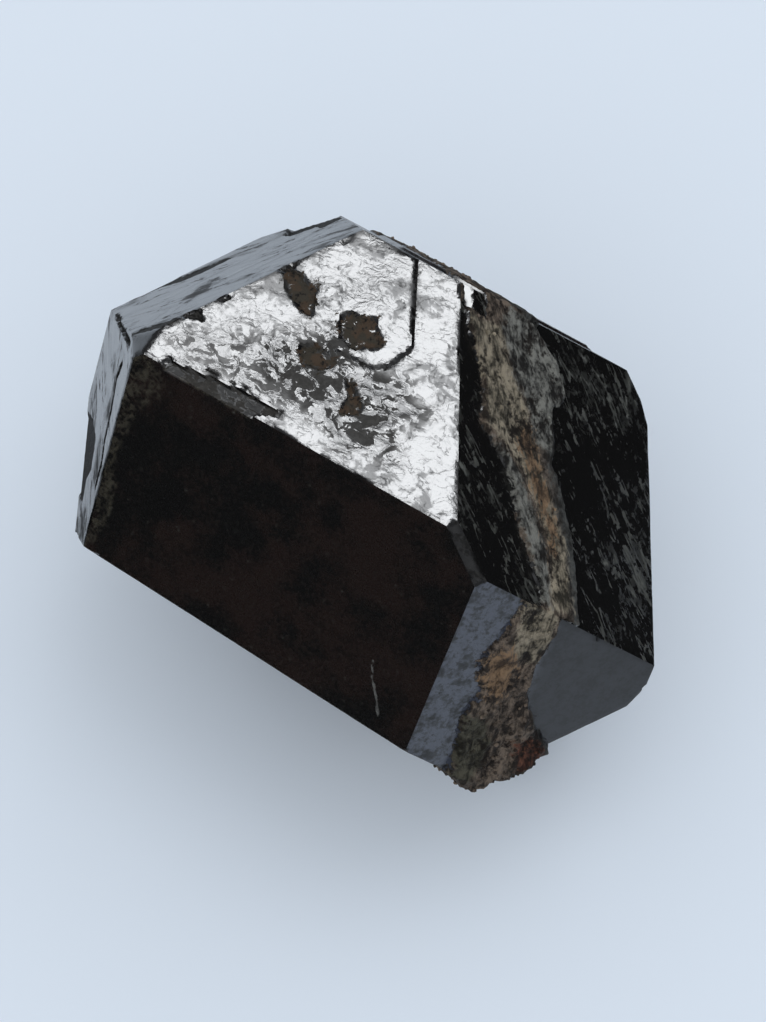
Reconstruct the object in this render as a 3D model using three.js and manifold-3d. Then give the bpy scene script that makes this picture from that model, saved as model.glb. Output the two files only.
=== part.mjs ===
// A loose uraninite crystal, grown as one solid and lying on one of its eight octahedron faces.
// The habit is a cube cut by an octahedron and stretched along one edge direction of the octahedron.
// Units are millimetres, +Z is up, +X is the long way, and the front cube face looks towards -Y.

import * as THREE from 'three';
import { ConvexGeometry } from 'three/addons/geometries/ConvexGeometry.js';
import { mergeVertices } from 'three/addons/utils/BufferGeometryUtils.js';
import Module from 'manifold-3d';

// Driving dimensions: the crystal faces

// Each face has its Miller index, its distance from the middle of the crystal, and how far its
// normal leans off the ideal form, because natural faces are a degree or two out.
const FACES = {
  front: { index: [1, 0, 0], distance: 5.15, lean: [0, 0.005, 0.01] },
  top: { index: [1, 1, 1], distance: 7.0, lean: [0.01, -0.01, 0.005] },
  leftStrip: { index: [0, 0, 1], distance: 7.45, lean: [-0.005, 0.005, 0] },
  leftEnd: { index: [1, -1, 1], distance: 7.3, lean: [-0.01, -0.005, 0.005] },
  right: { index: [0, 1, 0], distance: 6.7, lean: [-0.015, 0, 0.015] },
  rightLow: { index: [1, 1, -1], distance: 7.4, lean: [0.02, -0.03, 0] },
  backTop: { index: [-1, 1, 1], distance: 6.85, lean: [0.025, 0.005, 0.015] },
  frontLow: { index: [1, -1, -1], distance: 4.75, lean: [0.015, -0.01, 0.03] },
  rightEnd: { index: [-1, 1, -1], distance: 7.65, lean: [-0.04, -0.005, 0.035] },
  leftBack: { index: [-1, -1, 1], distance: 6.6, lean: [0.005, -0.005, 0] },
  back: { index: [-1, 0, 0], distance: 5.15, lean: [0, -0.005, 0.015] },
  leftLow: { index: [0, -1, 0], distance: 6.7, lean: [0, 0, 0] },
  rightUnder: { index: [0, 0, -1], distance: 7.45, lean: [0.015, -0.015, 0] },
  backBevel: { index: [-1, 0, 1], distance: 7.25, lean: [0.005, 0, 0.005] },
  frontBevel: { index: [1, 1, 0], distance: 8.25, lean: [-0.005, 0.005, 0.01] },
  base: { index: [-1, -1, -1], distance: 6.2, lean: [0, 0, 0] },
};

// The crystal's own axes, given in its cubic lattice: the long way, the depth and the height.
const LONG_WAY = [0, 1, -1];
const DEPTH_WAY = [-2, 1, 1];
const HEIGHT_WAY = [1, 1, 1];

// Broken corners: the three faces that meet there, and how far the corner is taken down.
const BROKEN_CORNERS = [
  { faces: ['top', 'leftStrip', 'leftEnd'], depth: 0.3 },
  { faces: ['front', 'rightLow', 'frontLow'], depth: 0.04 },
  { faces: ['rightLow', 'rightEnd', 'rightUnder'], depth: 0.15 },
  { faces: ['back', 'leftLow', 'leftBack'], depth: 0.35 },
  { faces: ['back', 'rightEnd', 'right'], depth: 0.1 },
];

// Driving dimensions: relief on the faces
// Places on a face are [along, across] from the middle of that face.

// Growth plates, outlined one by one and standing proud of their face.
const OUTLINED_PLATES = [
  {
    face: 'top',
    height: 0.1,
    outline: [
      [-1.8, 3.6], [0, 3.6], [0.7, 2.45], [1.4, 1.2], [1.25, 0.7],
      [0.95, 0.25], [0.05, -0.1], [-1.4, -0.5], [-3.1, -0.8], [-4.6, -1.3], [-5.2, -1.6],
    ],
  },
  {
    face: 'front',
    height: 0.05,
    outline: [
      [-2.6, 3.7], [4.3, 3.7], [5.5, 2.4], [5.4, -1.2], [1.6, 0.2],
    ],
  },
  { face: 'rightLow', height: 0.05, outline: [[1.5, -2.9], [4.3, -1.3], [4.3, 0.3], [1.9, 1.8]] },
];

// Growth plates that repeat the outline of their face, drawn in towards one point of it.
const TERRACES = [
  { face: 'back', towards: [2.2, 1.6], share: 0.74, height: 0.12 },
  { face: 'back', towards: [2.6, 1.2], share: 0.42, height: 0.22 },
  { face: 'frontLow', towards: [-1.5, -0.6], share: 0.7, height: 0.08 },
  { face: 'frontLow', towards: [-2.2, -0.2], share: 0.4, height: 0.15 },
  { face: 'leftBack', towards: [0.4, 1.6], share: 0.68, height: 0.1 },
  { face: 'leftBack', towards: [0.8, 2.0], share: 0.4, height: 0.18 },
  { face: 'leftLow', towards: [-0.8, 0.6], share: 0.66, height: 0.1 },
  { face: 'rightEnd', towards: [0.8, -0.4], share: 0.7, height: 0.1 },
  { face: 'backTop', towards: [0.9, 0.6], share: 0.72, height: 0.08 },
  { face: 'rightUnder', towards: [0.4, 1.2], share: 0.6, height: 0.1 },
  { face: 'leftStrip', towards: [1.4, 1.6], share: 0.72, height: 0.07 },
];

// Ledges and flakes lost from a face, by outline and depth.
const LEDGES = [
  {
    face: 'top',
    depth: 0.16,
    outline: [
      [-5.2, -2.7], [-4.7, -2.15], [-3.9, -1.95], [-3.1, -2.1], [-2.3, -1.95],
      [-0.6, -2.0], [-0.3, -2.25], [-0.1, -2.7],
    ],
  },
  {
    face: 'leftEnd',
    depth: 0.12,
    outline: [
      [-3.3, -1.4], [-2.4, -1.75], [-0.7, -2.6], [0.5, -3.4], [0.2, -4.2], [-3.4, -2.2],
    ],
  },
  {
    face: 'leftEnd',
    depth: 0.1,
    outline: [
      [-3.4, 1.0], [-2.1, 1.6], [-1.0, 2.3], [0.4, 3.0], [0.2, 3.8], [-3.5, 1.7],
    ],
  },
  {
    face: 'leftStrip',
    depth: 0.16,
    outline: [
      [0.2, 2.6], [0.7, 2.2], [1.5, 2.35], [2.0, 2.0], [2.6, 2.6], [1.4, 3.6],
      [-0.2, 3.6],
    ],
  },
  {
    face: 'leftStrip',
    depth: 0.1,
    outline: [
      [0.4, -3.9], [1.2, -2.4], [1.8, -2.0], [2.6, -2.0], [2.0, -3.4], [0.6, -4.4],
    ],
  },
  {
    face: 'front',
    depth: 0.1,
    outline: [
      [-5.6, 3.6], [-4.7, 3.6], [-4.4, 2.4], [-4.9, 0.9], [-4.6, -0.6], [-4.8, -2.2],
      [-5.6, -3.5],
    ],
  },
  {
    face: 'right',
    depth: 0.07,
    outline: [
      [-3.9, -2.3], [-2.4, -2.45], [-1.6, -2.9], [-1.7, -3.6], [-2.7, -3.5], [-4.1, -2.6],
    ],
  },
];

// Pits etched into a face, by outline and depth.
const OUTLINED_PITS = [
  {
    face: 'top',
    depth: 0.22,
    outline: [
      [-2.75, 1.4], [-2.05, 0.8], [-1.4, 0.6], [-1.55, 1.1], [-1.75, 1.55], [-2.1, 1.5],
      [-2.35, 1.65],
    ],
  },
  {
    face: 'top',
    depth: 0.2,
    outline: [
      [-0.6, 1.0], [-0.4, 1.25], [0.15, 1.45], [0.7, 0.95], [0.7, 0.7], [0.2, 0.4],
      [-0.15, 0.45],
    ],
  },
  {
    face: 'top',
    depth: 0.14,
    outline: [
      [-1.3, -0.1], [-0.7, 0.25], [-0.2, 0.1], [0, -0.3], [-0.6, -0.65], [-1.1, -0.5],
    ],
  },
  {
    face: 'top',
    depth: 0.12,
    outline: [
      [0.3, -0.3], [0.75, -0.2], [1.0, -0.6], [1.25, -1.0], [0.9, -1.15], [0.6, -0.8],
    ],
  },
];

// Small round-cornered pits, many to a face: how many, how wide, how deep, and the seed of their places.
const SMALL_PITS = [
  { face: 'top', count: 9, width: 0.5, depth: 0.1, seed: 3 },
  { face: 'leftStrip', count: 5, width: 0.5, depth: 0.08, seed: 5 },
  { face: 'right', count: 6, width: 0.55, depth: 0.08, seed: 8 },
  { face: 'back', count: 10, width: 0.8, depth: 0.14, seed: 11 },
  { face: 'frontLow', count: 7, width: 0.7, depth: 0.12, seed: 14 },
  { face: 'leftBack', count: 6, width: 0.7, depth: 0.12, seed: 19 },
  { face: 'leftLow', count: 4, width: 0.6, depth: 0.1, seed: 23 },
  { face: 'rightEnd', count: 5, width: 0.7, depth: 0.12, seed: 27 },
  { face: 'rightUnder', count: 4, width: 0.7, depth: 0.12, seed: 31 },
  { face: 'backTop', count: 6, width: 0.6, depth: 0.1, seed: 36 },
  { face: 'base', count: 6, width: 0.9, depth: 0.14, seed: 41 },
];
// A small pit is a six-sided hollow, longer than wide, with each corner at its own radius.
const PIT_SHAPE = { sides: 6, stretch: 1.3, squeeze: 0.8, leastRadius: 0.6, radiusSpread: 0.7 };
// Pits and ribs differ in size: the least share of the stated size, and the spread above it.
const SIZE_RANGE = { least: 0.6, spread: 0.8 };
// They keep away from the rim of their face: the share of the way out that they may reach.
const RELIEF_REACH = 0.8;

// Lamellae: thin lens-shaped growth ribs in rows, all along one direction of their face.
const LAMELLAE = [
  { face: 'right', angleDeg: -3, rows: 15, length: 2.0, width: 0.16, height: 0.06, seed: 2 },
  { face: 'leftStrip', angleDeg: 43, rows: 7, length: 2.2, width: 0.16, height: 0.05, seed: 6 },
  { face: 'back', angleDeg: 4, rows: 8, length: 2.6, width: 0.2, height: 0.06, seed: 9 },
];

// Grooves: cracks and one deep scratch, by the points they pass, their width and depth.
const GROOVES = [
  { face: 'leftEnd', width: 0.16, depth: 0.14, path: [[0.3, 1.05], [1.1, 0.6], [1.8, 0.05], [2.5, -0.5]] },
  { face: 'front', width: 0.1, depth: 0.05, path: [[3.55, -1.5], [3.85, -2.2], [4.2, -3.1]] },
  { face: 'top', width: 0.12, depth: 0.1, path: [[-3.1, -1.95], [-2.2, -1.8], [-0.6, -1.85]] },
];

// Nicks: shell-shaped chips out of the edge between two faces, at a share of the way along it.
const NICKS = [
  { faces: ['front', 'top'], at: 0.12, radius: 0.5, depth: 0.1 },
  { faces: ['front', 'frontLow'], at: 0.3, radius: 0.6, depth: 0.1 },
  { faces: ['front', 'frontLow'], at: 0.72, radius: 0.4, depth: 0.07 },
  { faces: ['front', 'leftEnd'], at: 0.5, radius: 0.5, depth: 0.1 },
  { faces: ['front', 'rightLow'], at: 0.65, radius: 0.35, depth: 0.06 },
  { faces: ['leftEnd', 'leftLow'], at: 0.35, radius: 0.5, depth: 0.1 },
  { faces: ['leftStrip', 'leftBack'], at: 0.4, radius: 0.5, depth: 0.12 },
  { faces: ['right', 'backTop'], at: 0.35, radius: 0.5, depth: 0.1 },
  { faces: ['rightEnd', 'right'], at: 0.6, radius: 0.45, depth: 0.08 },
  { faces: ['back', 'backTop'], at: 0.3, radius: 0.6, depth: 0.14 },
  { faces: ['back', 'leftBack'], at: 0.6, radius: 0.6, depth: 0.14 },
  { faces: ['back', 'rightEnd'], at: 0.45, radius: 0.5, depth: 0.1 },
  { faces: ['frontLow', 'leftLow'], at: 0.5, radius: 0.5, depth: 0.1 },
  { faces: ['rightUnder', 'rightLow'], at: 0.5, radius: 0.4, depth: 0.08 },
];

// Driving dimensions: the vein
// It is a healed crack filled with crumbly brown mineral, and it runs round the crystal as a belt.

const VEIN = {
  normal: [0.624, 0.658, -0.423],
  distance: 2.3,
  halfWidth: 1.3,
  halfWidthSpread: 0.35,
  proud: 0.05,
  lumpHeight: 0.75,
  // lumps away from the burst keep this share of their height, and the belt thins to its sides
  calmShare: 0.3,
  sideThinning: 0.6,
  // the belt narrows where it crosses the edge between the right and the lower right face
  pinch: { at: [7.1, -0.9, 3.7], reach: 1.3, share: 0.35 },
  // and it stands out most where it leaves the lower right face
  burst: { at: [7.2, -4.2, -1.4], reach: 2.6 },
  stepsRound: 132,
  stepsAcross: 8,
  lumpGrain: 0.55,
  // the two ragged sides of the belt are cut by two separate stretches of noise
  edgeGrain: 0.8,
  edgeNoiseShift: [41, 17],
};

const CRYSTAL_COLOR = 0x1c1b1b;

// Small helpers

const wasm = await Module();
wasm.setup();

// Two points nearer than this are one point.
const NEAR = 1e-4;
// A cutting block reaches this far past the surface that it cuts.
const CLEAR = 2;
// Wider than the whole crystal.
const WIDE = 60;

// Repeatable value from 0 to 1 for a point of the whole-number lattice.
function latticeValue(i, j, k) {
  const wave = Math.sin(i * 127.1 + j * 311.7 + k * 74.7) * 43758.5453;
  return wave - Math.floor(wave);
}

// Smooth value from 0 to 1 that changes over about one grain.
function smoothNoise(point, grain) {
  const scaled = point.clone().divideScalar(grain);
  const cell = scaled.clone().floor();
  const part = scaled.sub(cell);
  const ease = (t) => t * t * (3 - 2 * t);
  const [fx, fy, fz] = [ease(part.x), ease(part.y), ease(part.z)];
  let sum = 0;
  for (const [dx, wx] of [[0, 1 - fx], [1, fx]]) {
    for (const [dy, wy] of [[0, 1 - fy], [1, fy]]) {
      for (const [dz, wz] of [[0, 1 - fz], [1, fz]]) {
        sum += wx * wy * wz * latticeValue(cell.x + dx, cell.y + dy, cell.z + dz);
      }
    }
  }
  return sum;
}

function unit(list) {
  return new THREE.Vector3(...list).normalize();
}

// Turns a closed three.js geometry into a solid that can be joined and cut.
function solidFrom(geometry) {
  const bare = geometry.clone();
  bare.deleteAttribute('normal');
  bare.deleteAttribute('uv');
  const merged = mergeVertices(bare, 1e-5);
  const mesh = new wasm.Mesh({
    numProp: 3,
    vertProperties: new Float32Array(merged.attributes.position.array),
    triVerts: new Uint32Array(merged.index.array),
  });
  return new wasm.Manifold(mesh);
}

// The crystal's faces as planes

// Lattice directions become directions in space: long way to X, depth to Y, height to Z.
const latticeToSpace = new THREE.Matrix4()
  .makeBasis(unit(LONG_WAY), unit(DEPTH_WAY), unit(HEIGHT_WAY))
  .transpose();

function facePlane(face, grown = 0) {
  const { index, distance, lean } = FACES[face];
  const normal = unit(index).add(new THREE.Vector3(...lean)).normalize();
  normal.transformDirection(latticeToSpace);
  return new THREE.Plane(normal, -(distance + grown));
}

function meetingPoint(planes) {
  const [a, b, c] = planes.map((plane) => plane.normal);
  const bc = b.clone().cross(c);
  const ca = c.clone().cross(a);
  const ab = a.clone().cross(b);
  const sum = bc.multiplyScalar(-planes[0].constant)
    .add(ca.multiplyScalar(-planes[1].constant))
    .add(ab.multiplyScalar(-planes[2].constant));
  return sum.divideScalar(a.dot(b.clone().cross(c)));
}

const brokenCornerPlanes = BROKEN_CORNERS.map(({ faces, depth }) => {
  const planes = faces.map((face) => facePlane(face));
  const corner = meetingPoint(planes);
  const normal = planes.reduce((sum, plane) => sum.add(plane.normal), new THREE.Vector3()).normalize();
  return new THREE.Plane(normal, -(normal.dot(corner) - depth));
});

// All the planes that bound the crystal; one face may be grown outwards by some height.
function boundingPlanes(grownFace, grown) {
  const habit = Object.keys(FACES).map((face) => facePlane(face, face === grownFace ? grown : 0));
  return habit.concat(brokenCornerPlanes);
}

// The part of a polygon on the inner side of a plane.
function clipPolygon(polygon, plane) {
  const kept = [];
  polygon.forEach((corner, i) => {
    const next = polygon[(i + 1) % polygon.length];
    const here = plane.distanceToPoint(corner);
    const there = plane.distanceToPoint(next);
    if (here <= 0) kept.push(corner);
    if (here < 0 !== there < 0) kept.push(corner.clone().lerp(next, here / (here - there)));
  });
  return kept;
}

// The outline of one plane of a convex body: a wide square, clipped by all the other planes.
function planeOutline(plane, planes) {
  const along = new THREE.Vector3(1, 0, 0).projectOnPlane(plane.normal).normalize();
  const across = plane.normal.clone().cross(along);
  const middle = plane.normal.clone().multiplyScalar(-plane.constant);
  const square = [[1, 1], [-1, 1], [-1, -1], [1, -1]].map(([a, b]) => middle.clone()
    .addScaledVector(along, a * WIDE)
    .addScaledVector(across, b * WIDE));
  return planes.filter((other) => other !== plane).reduce(clipPolygon, square);
}

function convexBody(planes) {
  const points = [];
  for (const plane of planes) {
    for (const corner of planeOutline(plane, planes)) {
      if (!points.some((known) => known.distanceTo(corner) < NEAR)) points.push(corner);
    }
  }
  return solidFrom(new ConvexGeometry(points));
}

// A face's own axes: along the crystal's length, across it and outwards, from the face's middle.
function faceFrame(face) {
  const planes = boundingPlanes();
  const plane = planes[Object.keys(FACES).indexOf(face)];
  const outline = planeOutline(plane, planes);
  const along = new THREE.Vector3(1, 0, 0).projectOnPlane(plane.normal).normalize();
  const across = plane.normal.clone().cross(along);
  const middle = new THREE.Vector3();
  let area = 0;
  for (let i = 1; i < outline.length - 1; i += 1) {
    const corner = new THREE.Triangle(outline[0], outline[i], outline[i + 1]);
    const share = corner.getArea();
    middle.addScaledVector(corner.getMidpoint(new THREE.Vector3()), share);
    area += share;
  }
  middle.divideScalar(area);
  const matrix = new THREE.Matrix4().makeBasis(along, across, plane.normal).setPosition(middle);
  const inverse = matrix.clone().invert();
  const local = outline.map((corner) => {
    const p = corner.clone().applyMatrix4(inverse);
    return [p.x, p.y];
  });
  return { matrix, outline: local };
}

const frames = Object.fromEntries(Object.keys(FACES).map((face) => [face, faceFrame(face)]));

// Relief made on a face

// A straight-walled block over an outline on a face, from one height to another.
function blockOnFace(face, outline, from, to) {
  const shape = new THREE.Shape(outline.map(([along, across]) => new THREE.Vector2(along, across)));
  const block = new THREE.ExtrudeGeometry(shape, { depth: to - from, bevelEnabled: false });
  block.translate(0, 0, from);
  block.applyMatrix4(frames[face].matrix);
  return solidFrom(block);
}

// A plate stands proud of its face but never past the planes of the faces around it.
function plateOnFace(face, outline, height) {
  const block = blockOnFace(face, outline, -CLEAR, height + CLEAR);
  return block.intersect(convexBody(boundingPlanes(face, height)));
}

function drawnIn(outline, towards, share) {
  return outline.map(([along, across]) => [
    towards[0] + (along - towards[0]) * share,
    towards[1] + (across - towards[1]) * share,
  ]);
}

// A repeatable place on a face, away from its rim.
function placeOnFace(face, seed, i) {
  const { outline } = frames[face];
  const corner = outline[Math.floor(latticeValue(seed, i, 1) * outline.length)];
  const next = outline[(outline.indexOf(corner) + 1) % outline.length];
  const slide = latticeValue(seed, i, 2);
  const reach = RELIEF_REACH * Math.sqrt(latticeValue(seed, i, 3));
  return [0, 1].map((axis) => (corner[axis] + (next[axis] - corner[axis]) * slide) * reach);
}

// A stated size, varied repeatably from one pit or rib to the next.
function variedSize(size, seed, i) {
  return size * (SIZE_RANGE.least + SIZE_RANGE.spread * latticeValue(seed, i, 4));
}

function smallPitOutline(centre, width, seed, i) {
  const { sides, stretch, squeeze, leastRadius, radiusSpread } = PIT_SHAPE;
  return Array.from({ length: sides }, (_, side) => {
    const angle = (side / sides) * 2 * Math.PI;
    const radius = (width / 2) * (leastRadius + radiusSpread * latticeValue(seed, i, 10 + side));
    return [
      centre[0] + stretch * radius * Math.cos(angle),
      centre[1] + squeeze * radius * Math.sin(angle),
    ];
  });
}

function lamellaOutline(centre, length, width, angleDeg) {
  const turn = THREE.MathUtils.degToRad(angleDeg);
  const lens = [[-length / 2, 0], [0, -width / 2], [length / 2, 0], [0, width / 2]];
  return lens.map(([a, b]) => [
    centre[0] + a * Math.cos(turn) - b * Math.sin(turn),
    centre[1] + a * Math.sin(turn) + b * Math.cos(turn),
  ]);
}

// A ribbon of even width along a path of points.
function ribbonOutline(path, width) {
  const points = path.map(([along, across]) => new THREE.Vector2(along, across));
  const side = (sign) => points.map((point, i) => {
    const before = points[Math.max(i - 1, 0)];
    const after = points[Math.min(i + 1, points.length - 1)];
    const way = after.clone().sub(before).normalize();
    return [point.x - sign * way.y * width / 2, point.y + sign * way.x * width / 2];
  });
  return side(1).concat(side(-1).reverse());
}

function addPlates(crystal) {
  let grown = crystal;
  for (const { face, outline, height } of OUTLINED_PLATES) {
    grown = grown.add(plateOnFace(face, outline, height));
  }
  for (const { face, towards, share, height } of TERRACES) {
    const outline = drawnIn(frames[face].outline, towards, share);
    grown = grown.add(plateOnFace(face, outline, height));
  }
  return grown;
}

function addLamellae(crystal) {
  let ribbed = crystal;
  for (const { face, angleDeg, rows, length, width, height, seed } of LAMELLAE) {
    for (let i = 0; i < rows; i += 1) {
      const centre = placeOnFace(face, seed, i);
      const outline = lamellaOutline(centre, variedSize(length, seed, i), width, angleDeg);
      ribbed = ribbed.add(plateOnFace(face, outline, height));
    }
  }
  return ribbed;
}

function cutFlakesAndPits(crystal) {
  let cut = crystal;
  for (const { face, outline, depth } of LEDGES.concat(OUTLINED_PITS)) {
    cut = cut.subtract(blockOnFace(face, outline, -depth, CLEAR));
  }
  for (const { face, count, width, depth, seed } of SMALL_PITS) {
    for (let i = 0; i < count; i += 1) {
      const centre = placeOnFace(face, seed, i);
      const outline = smallPitOutline(centre, variedSize(width, seed, i), seed, i);
      cut = cut.subtract(blockOnFace(face, outline, -depth, CLEAR));
    }
  }
  for (const { face, path, width, depth } of GROOVES) {
    cut = cut.subtract(blockOnFace(face, ribbonOutline(path, width), -depth, CLEAR));
  }
  return cut;
}

// The two ends of the edge between two faces of the crystal.
function sharedEdge(faces) {
  const planes = boundingPlanes();
  const names = Object.keys(FACES);
  const [plane, other] = faces.map((face) => planes[names.indexOf(face)]);
  const ends = planeOutline(plane, planes).filter((corner) => Math.abs(other.distanceToPoint(corner)) < NEAR);
  return [ends[0], ends[ends.length - 1], plane.normal.clone().add(other.normal).normalize()];
}

// A nick is a shallow scoop of a faceted ball that dips into the edge by its depth.
function cutNicks(crystal) {
  let nicked = crystal;
  for (const { faces, at, radius, depth } of NICKS) {
    const [start, end, outwards] = sharedEdge(faces);
    const centre = start.clone().lerp(end, at).addScaledVector(outwards, radius - depth);
    const scoop = new THREE.IcosahedronGeometry(radius, 1);
    scoop.translate(centre.x, centre.y, centre.z);
    nicked = nicked.subtract(solidFrom(scoop));
  }
  return nicked;
}

// The vein's belt

function nearness(point, place, reach) {
  return Math.exp(-point.distanceToSquared(new THREE.Vector3(...place)) / (reach * reach));
}

// How far the flat faces are from a point inside, in one direction.
function distanceToFaces(planes, from, way) {
  const reaches = planes
    .filter((plane) => plane.normal.dot(way) > NEAR)
    .map((plane) => -plane.distanceToPoint(from) / plane.normal.dot(way));
  return Math.min(...reaches);
}

function veinBelt() {
  const planes = boundingPlanes();
  const normal = unit(VEIN.normal);
  const first = new THREE.Vector3(0, 0, 1).projectOnPlane(normal).normalize();
  const second = normal.clone().cross(first);
  const middle = normal.clone().multiplyScalar(VEIN.distance);
  const across = VEIN.stepsAcross;
  const round = VEIN.stepsRound;
  const positions = [];
  for (let i = 0; i < round; i += 1) {
    const angle = (i / round) * 2 * Math.PI;
    const way = first.clone().multiplyScalar(Math.cos(angle)).addScaledVector(second, Math.sin(angle));
    const rim = middle.clone().addScaledVector(way, distanceToFaces(planes, middle, way));
    const narrowed = 1 - VEIN.pinch.share * nearness(rim, VEIN.pinch.at, VEIN.pinch.reach);
    for (let j = 0; j <= across; j += 1) {
      const side = (2 * j) / across - 1;
      const shift = VEIN.edgeNoiseShift[side > 0 ? 1 : 0];
      const ragged = smoothNoise(rim.clone().addScalar(shift), VEIN.edgeGrain) - 0.5;
      const halfWidth = (VEIN.halfWidth + 2 * VEIN.halfWidthSpread * ragged) * narrowed;
      const start = middle.clone().addScaledVector(normal, side * halfWidth);
      const surface = start.clone().addScaledVector(way, distanceToFaces(planes, start, way));
      const burst = nearness(surface, VEIN.burst.at, VEIN.burst.reach);
      const strength = VEIN.calmShare + (1 - VEIN.calmShare) * burst;
      const thinned = 1 - VEIN.sideThinning * side ** 2;
      const lump = VEIN.lumpHeight * strength * thinned * smoothNoise(surface, VEIN.lumpGrain);
      positions.push(surface.addScaledVector(way, VEIN.proud + lump));
    }
  }
  const ends = [-1, 1].map((side) => middle.clone().addScaledVector(normal, side * VEIN.halfWidth));
  const firstEnd = positions.length;
  const secondEnd = firstEnd + 1;
  const triangles = [];
  for (let i = 0; i < round; i += 1) {
    const here = i * (across + 1);
    const next = ((i + 1) % round) * (across + 1);
    for (let j = 0; j < across; j += 1) {
      triangles.push(here + j, next + j, here + j + 1, next + j, next + j + 1, here + j + 1);
    }
    triangles.push(firstEnd, next, here, secondEnd, here + across, next + across);
  }
  const belt = new THREE.BufferGeometry().setFromPoints(positions.concat(ends));
  belt.setIndex(triangles);
  return solidFrom(belt);
}

// Everything above the resting plane, so that the vein never reaches below the base.
function aboveBase() {
  const box = new THREE.BoxGeometry(WIDE, WIDE, WIDE);
  box.translate(0, 0, WIDE / 2 - FACES.base.distance);
  return solidFrom(box);
}

// The finished crystal

function crystalMesh() {
  const habit = convexBody(boundingPlanes());
  const textured = cutNicks(cutFlakesAndPits(addLamellae(addPlates(habit))));
  const { vertProperties, triVerts } = textured.add(veinBelt()).intersect(aboveBase()).getMesh();
  const geometry = new THREE.BufferGeometry();
  geometry.setAttribute('position', new THREE.BufferAttribute(new Float32Array(vertProperties), 3));
  geometry.setIndex(new THREE.BufferAttribute(new Uint32Array(triVerts), 1));
  geometry.computeVertexNormals();
  const material = new THREE.MeshStandardMaterial({
    color: CRYSTAL_COLOR,
    roughness: 0.3,
    metalness: 0.35,
    flatShading: true,
  });
  const crystal = new THREE.Mesh(geometry, material);
  crystal.name = 'uraninite_crystal';
  // the crystal stands centred over the origin, with its base at height zero
  geometry.computeBoundingBox();
  const middle = geometry.boundingBox.getCenter(new THREE.Vector3());
  crystal.position.set(-middle.x, -middle.y, FACES.base.distance);
  return crystal;
}

const group = new THREE.Group();
group.add(crystalMesh());

export default group;
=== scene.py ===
# %% [markdown]
# # A uraninite crystal
# This lesson dresses one loose crystal of uraninite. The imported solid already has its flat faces,
# its growth plates, its pits and the lumpy belt of its vein. Here the same crystal gets a fine skin:
# mirror faces with etched relief, edges with small chips, and the crumbly brown filling of the vein.
# All lengths are in metres, and small ones are written as millimetres times `MM`.

import math

import bpy
import numpy as np
from mathutils import Matrix, Vector
from mathutils.geometry import delaunay_2d_cdt


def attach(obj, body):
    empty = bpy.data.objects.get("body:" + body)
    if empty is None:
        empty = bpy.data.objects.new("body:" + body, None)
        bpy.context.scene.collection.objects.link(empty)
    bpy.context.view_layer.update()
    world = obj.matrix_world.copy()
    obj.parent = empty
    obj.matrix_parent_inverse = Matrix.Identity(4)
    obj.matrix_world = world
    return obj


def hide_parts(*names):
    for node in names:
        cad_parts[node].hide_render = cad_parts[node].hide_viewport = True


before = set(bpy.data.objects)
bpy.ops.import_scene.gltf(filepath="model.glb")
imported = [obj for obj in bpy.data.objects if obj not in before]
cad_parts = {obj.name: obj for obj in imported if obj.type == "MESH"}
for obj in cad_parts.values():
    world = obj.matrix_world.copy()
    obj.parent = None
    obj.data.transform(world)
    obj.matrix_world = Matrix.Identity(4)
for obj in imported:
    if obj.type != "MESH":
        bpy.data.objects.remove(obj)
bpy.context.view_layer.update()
MM = 0.001
NODE = "uraninite_crystal"
BODY = "root"
scene = bpy.context.scene

# %% [markdown]
# ## Camera
# The photograph looks steeply down on the crystal, from its front right side, and is turned a
# little. The camera is placed by its angles, by its distance and by the point that it looks at, so
# each of them can be corrected alone.

# %% Camera
IMAGE = (766, 1022)
SENSOR = 36.0
FOCAL_PIXELS = 3132.5
VIEW_AZIMUTH, VIEW_ELEVATION, VIEW_ROLL = (math.radians(x) for x in (43.16, 68.535, 11.04))
VIEW_TARGET = Vector((0.203, -0.467, 6.082)) * MM
VIEW_DISTANCE = 87.01 * MM
camera = bpy.data.objects.new("camera", bpy.data.cameras.new("camera"))
scene.collection.objects.link(camera)
aim = Matrix.Rotation(VIEW_AZIMUTH, 4, "Z") @ Matrix.Rotation(math.pi / 2 - VIEW_ELEVATION, 4, "X")
aim = aim @ Matrix.Rotation(-VIEW_ROLL, 4, "Z")
camera.matrix_world = Matrix.Translation(VIEW_TARGET) @ aim @ Matrix.Translation((0, 0, VIEW_DISTANCE))
camera.data.sensor_width = SENSOR
camera.data.lens = FOCAL_PIXELS / max(IMAGE) * SENSOR
camera.data.clip_start, camera.data.clip_end = 1 * MM, 2.0
scene.camera = camera
print("camera lens", round(camera.data.lens, 1), "at", [round(x / MM, 1) for x in camera.location])

# %% [markdown]
# ## Writing shader maths as sums
# Node trees are easier to read as sums. `Value` wraps a socket, and its operators add Math nodes.
# `Tree` has one method, `node`, for every other node, and `Finish` adds what a material often needs.

# %% Sums on sockets
class Value:
    """A number's socket that takes part in Python sums."""

    def __init__(self, finish, socket):
        self.finish, self.socket = finish, socket

    def sum(self, operation, first, second):
        return self.finish.value("ShaderNodeMath", {"operation": operation}, {0: first, 1: second})

    def __add__(self, other):
        return self.sum("ADD", self, other)

    def __sub__(self, other):
        return self.sum("SUBTRACT", self, other)

    def __rsub__(self, other):
        return self.sum("SUBTRACT", other, self)

    def __mul__(self, other):
        return self.sum("MULTIPLY", self, other)

    def magnitude(self):
        return self.sum("ABSOLUTE", self, 0.0)

    def least(self, other):
        return self.sum("MINIMUM", self, other)

    def most(self, other):
        return self.sum("MAXIMUM", self, other)

    def wave(self):
        """Up and down between 0 and 1, once for each two whole numbers."""
        return self.sum("PINGPONG", self, 1.0)

    __radd__ = __add__
    __rmul__ = __mul__


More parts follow.
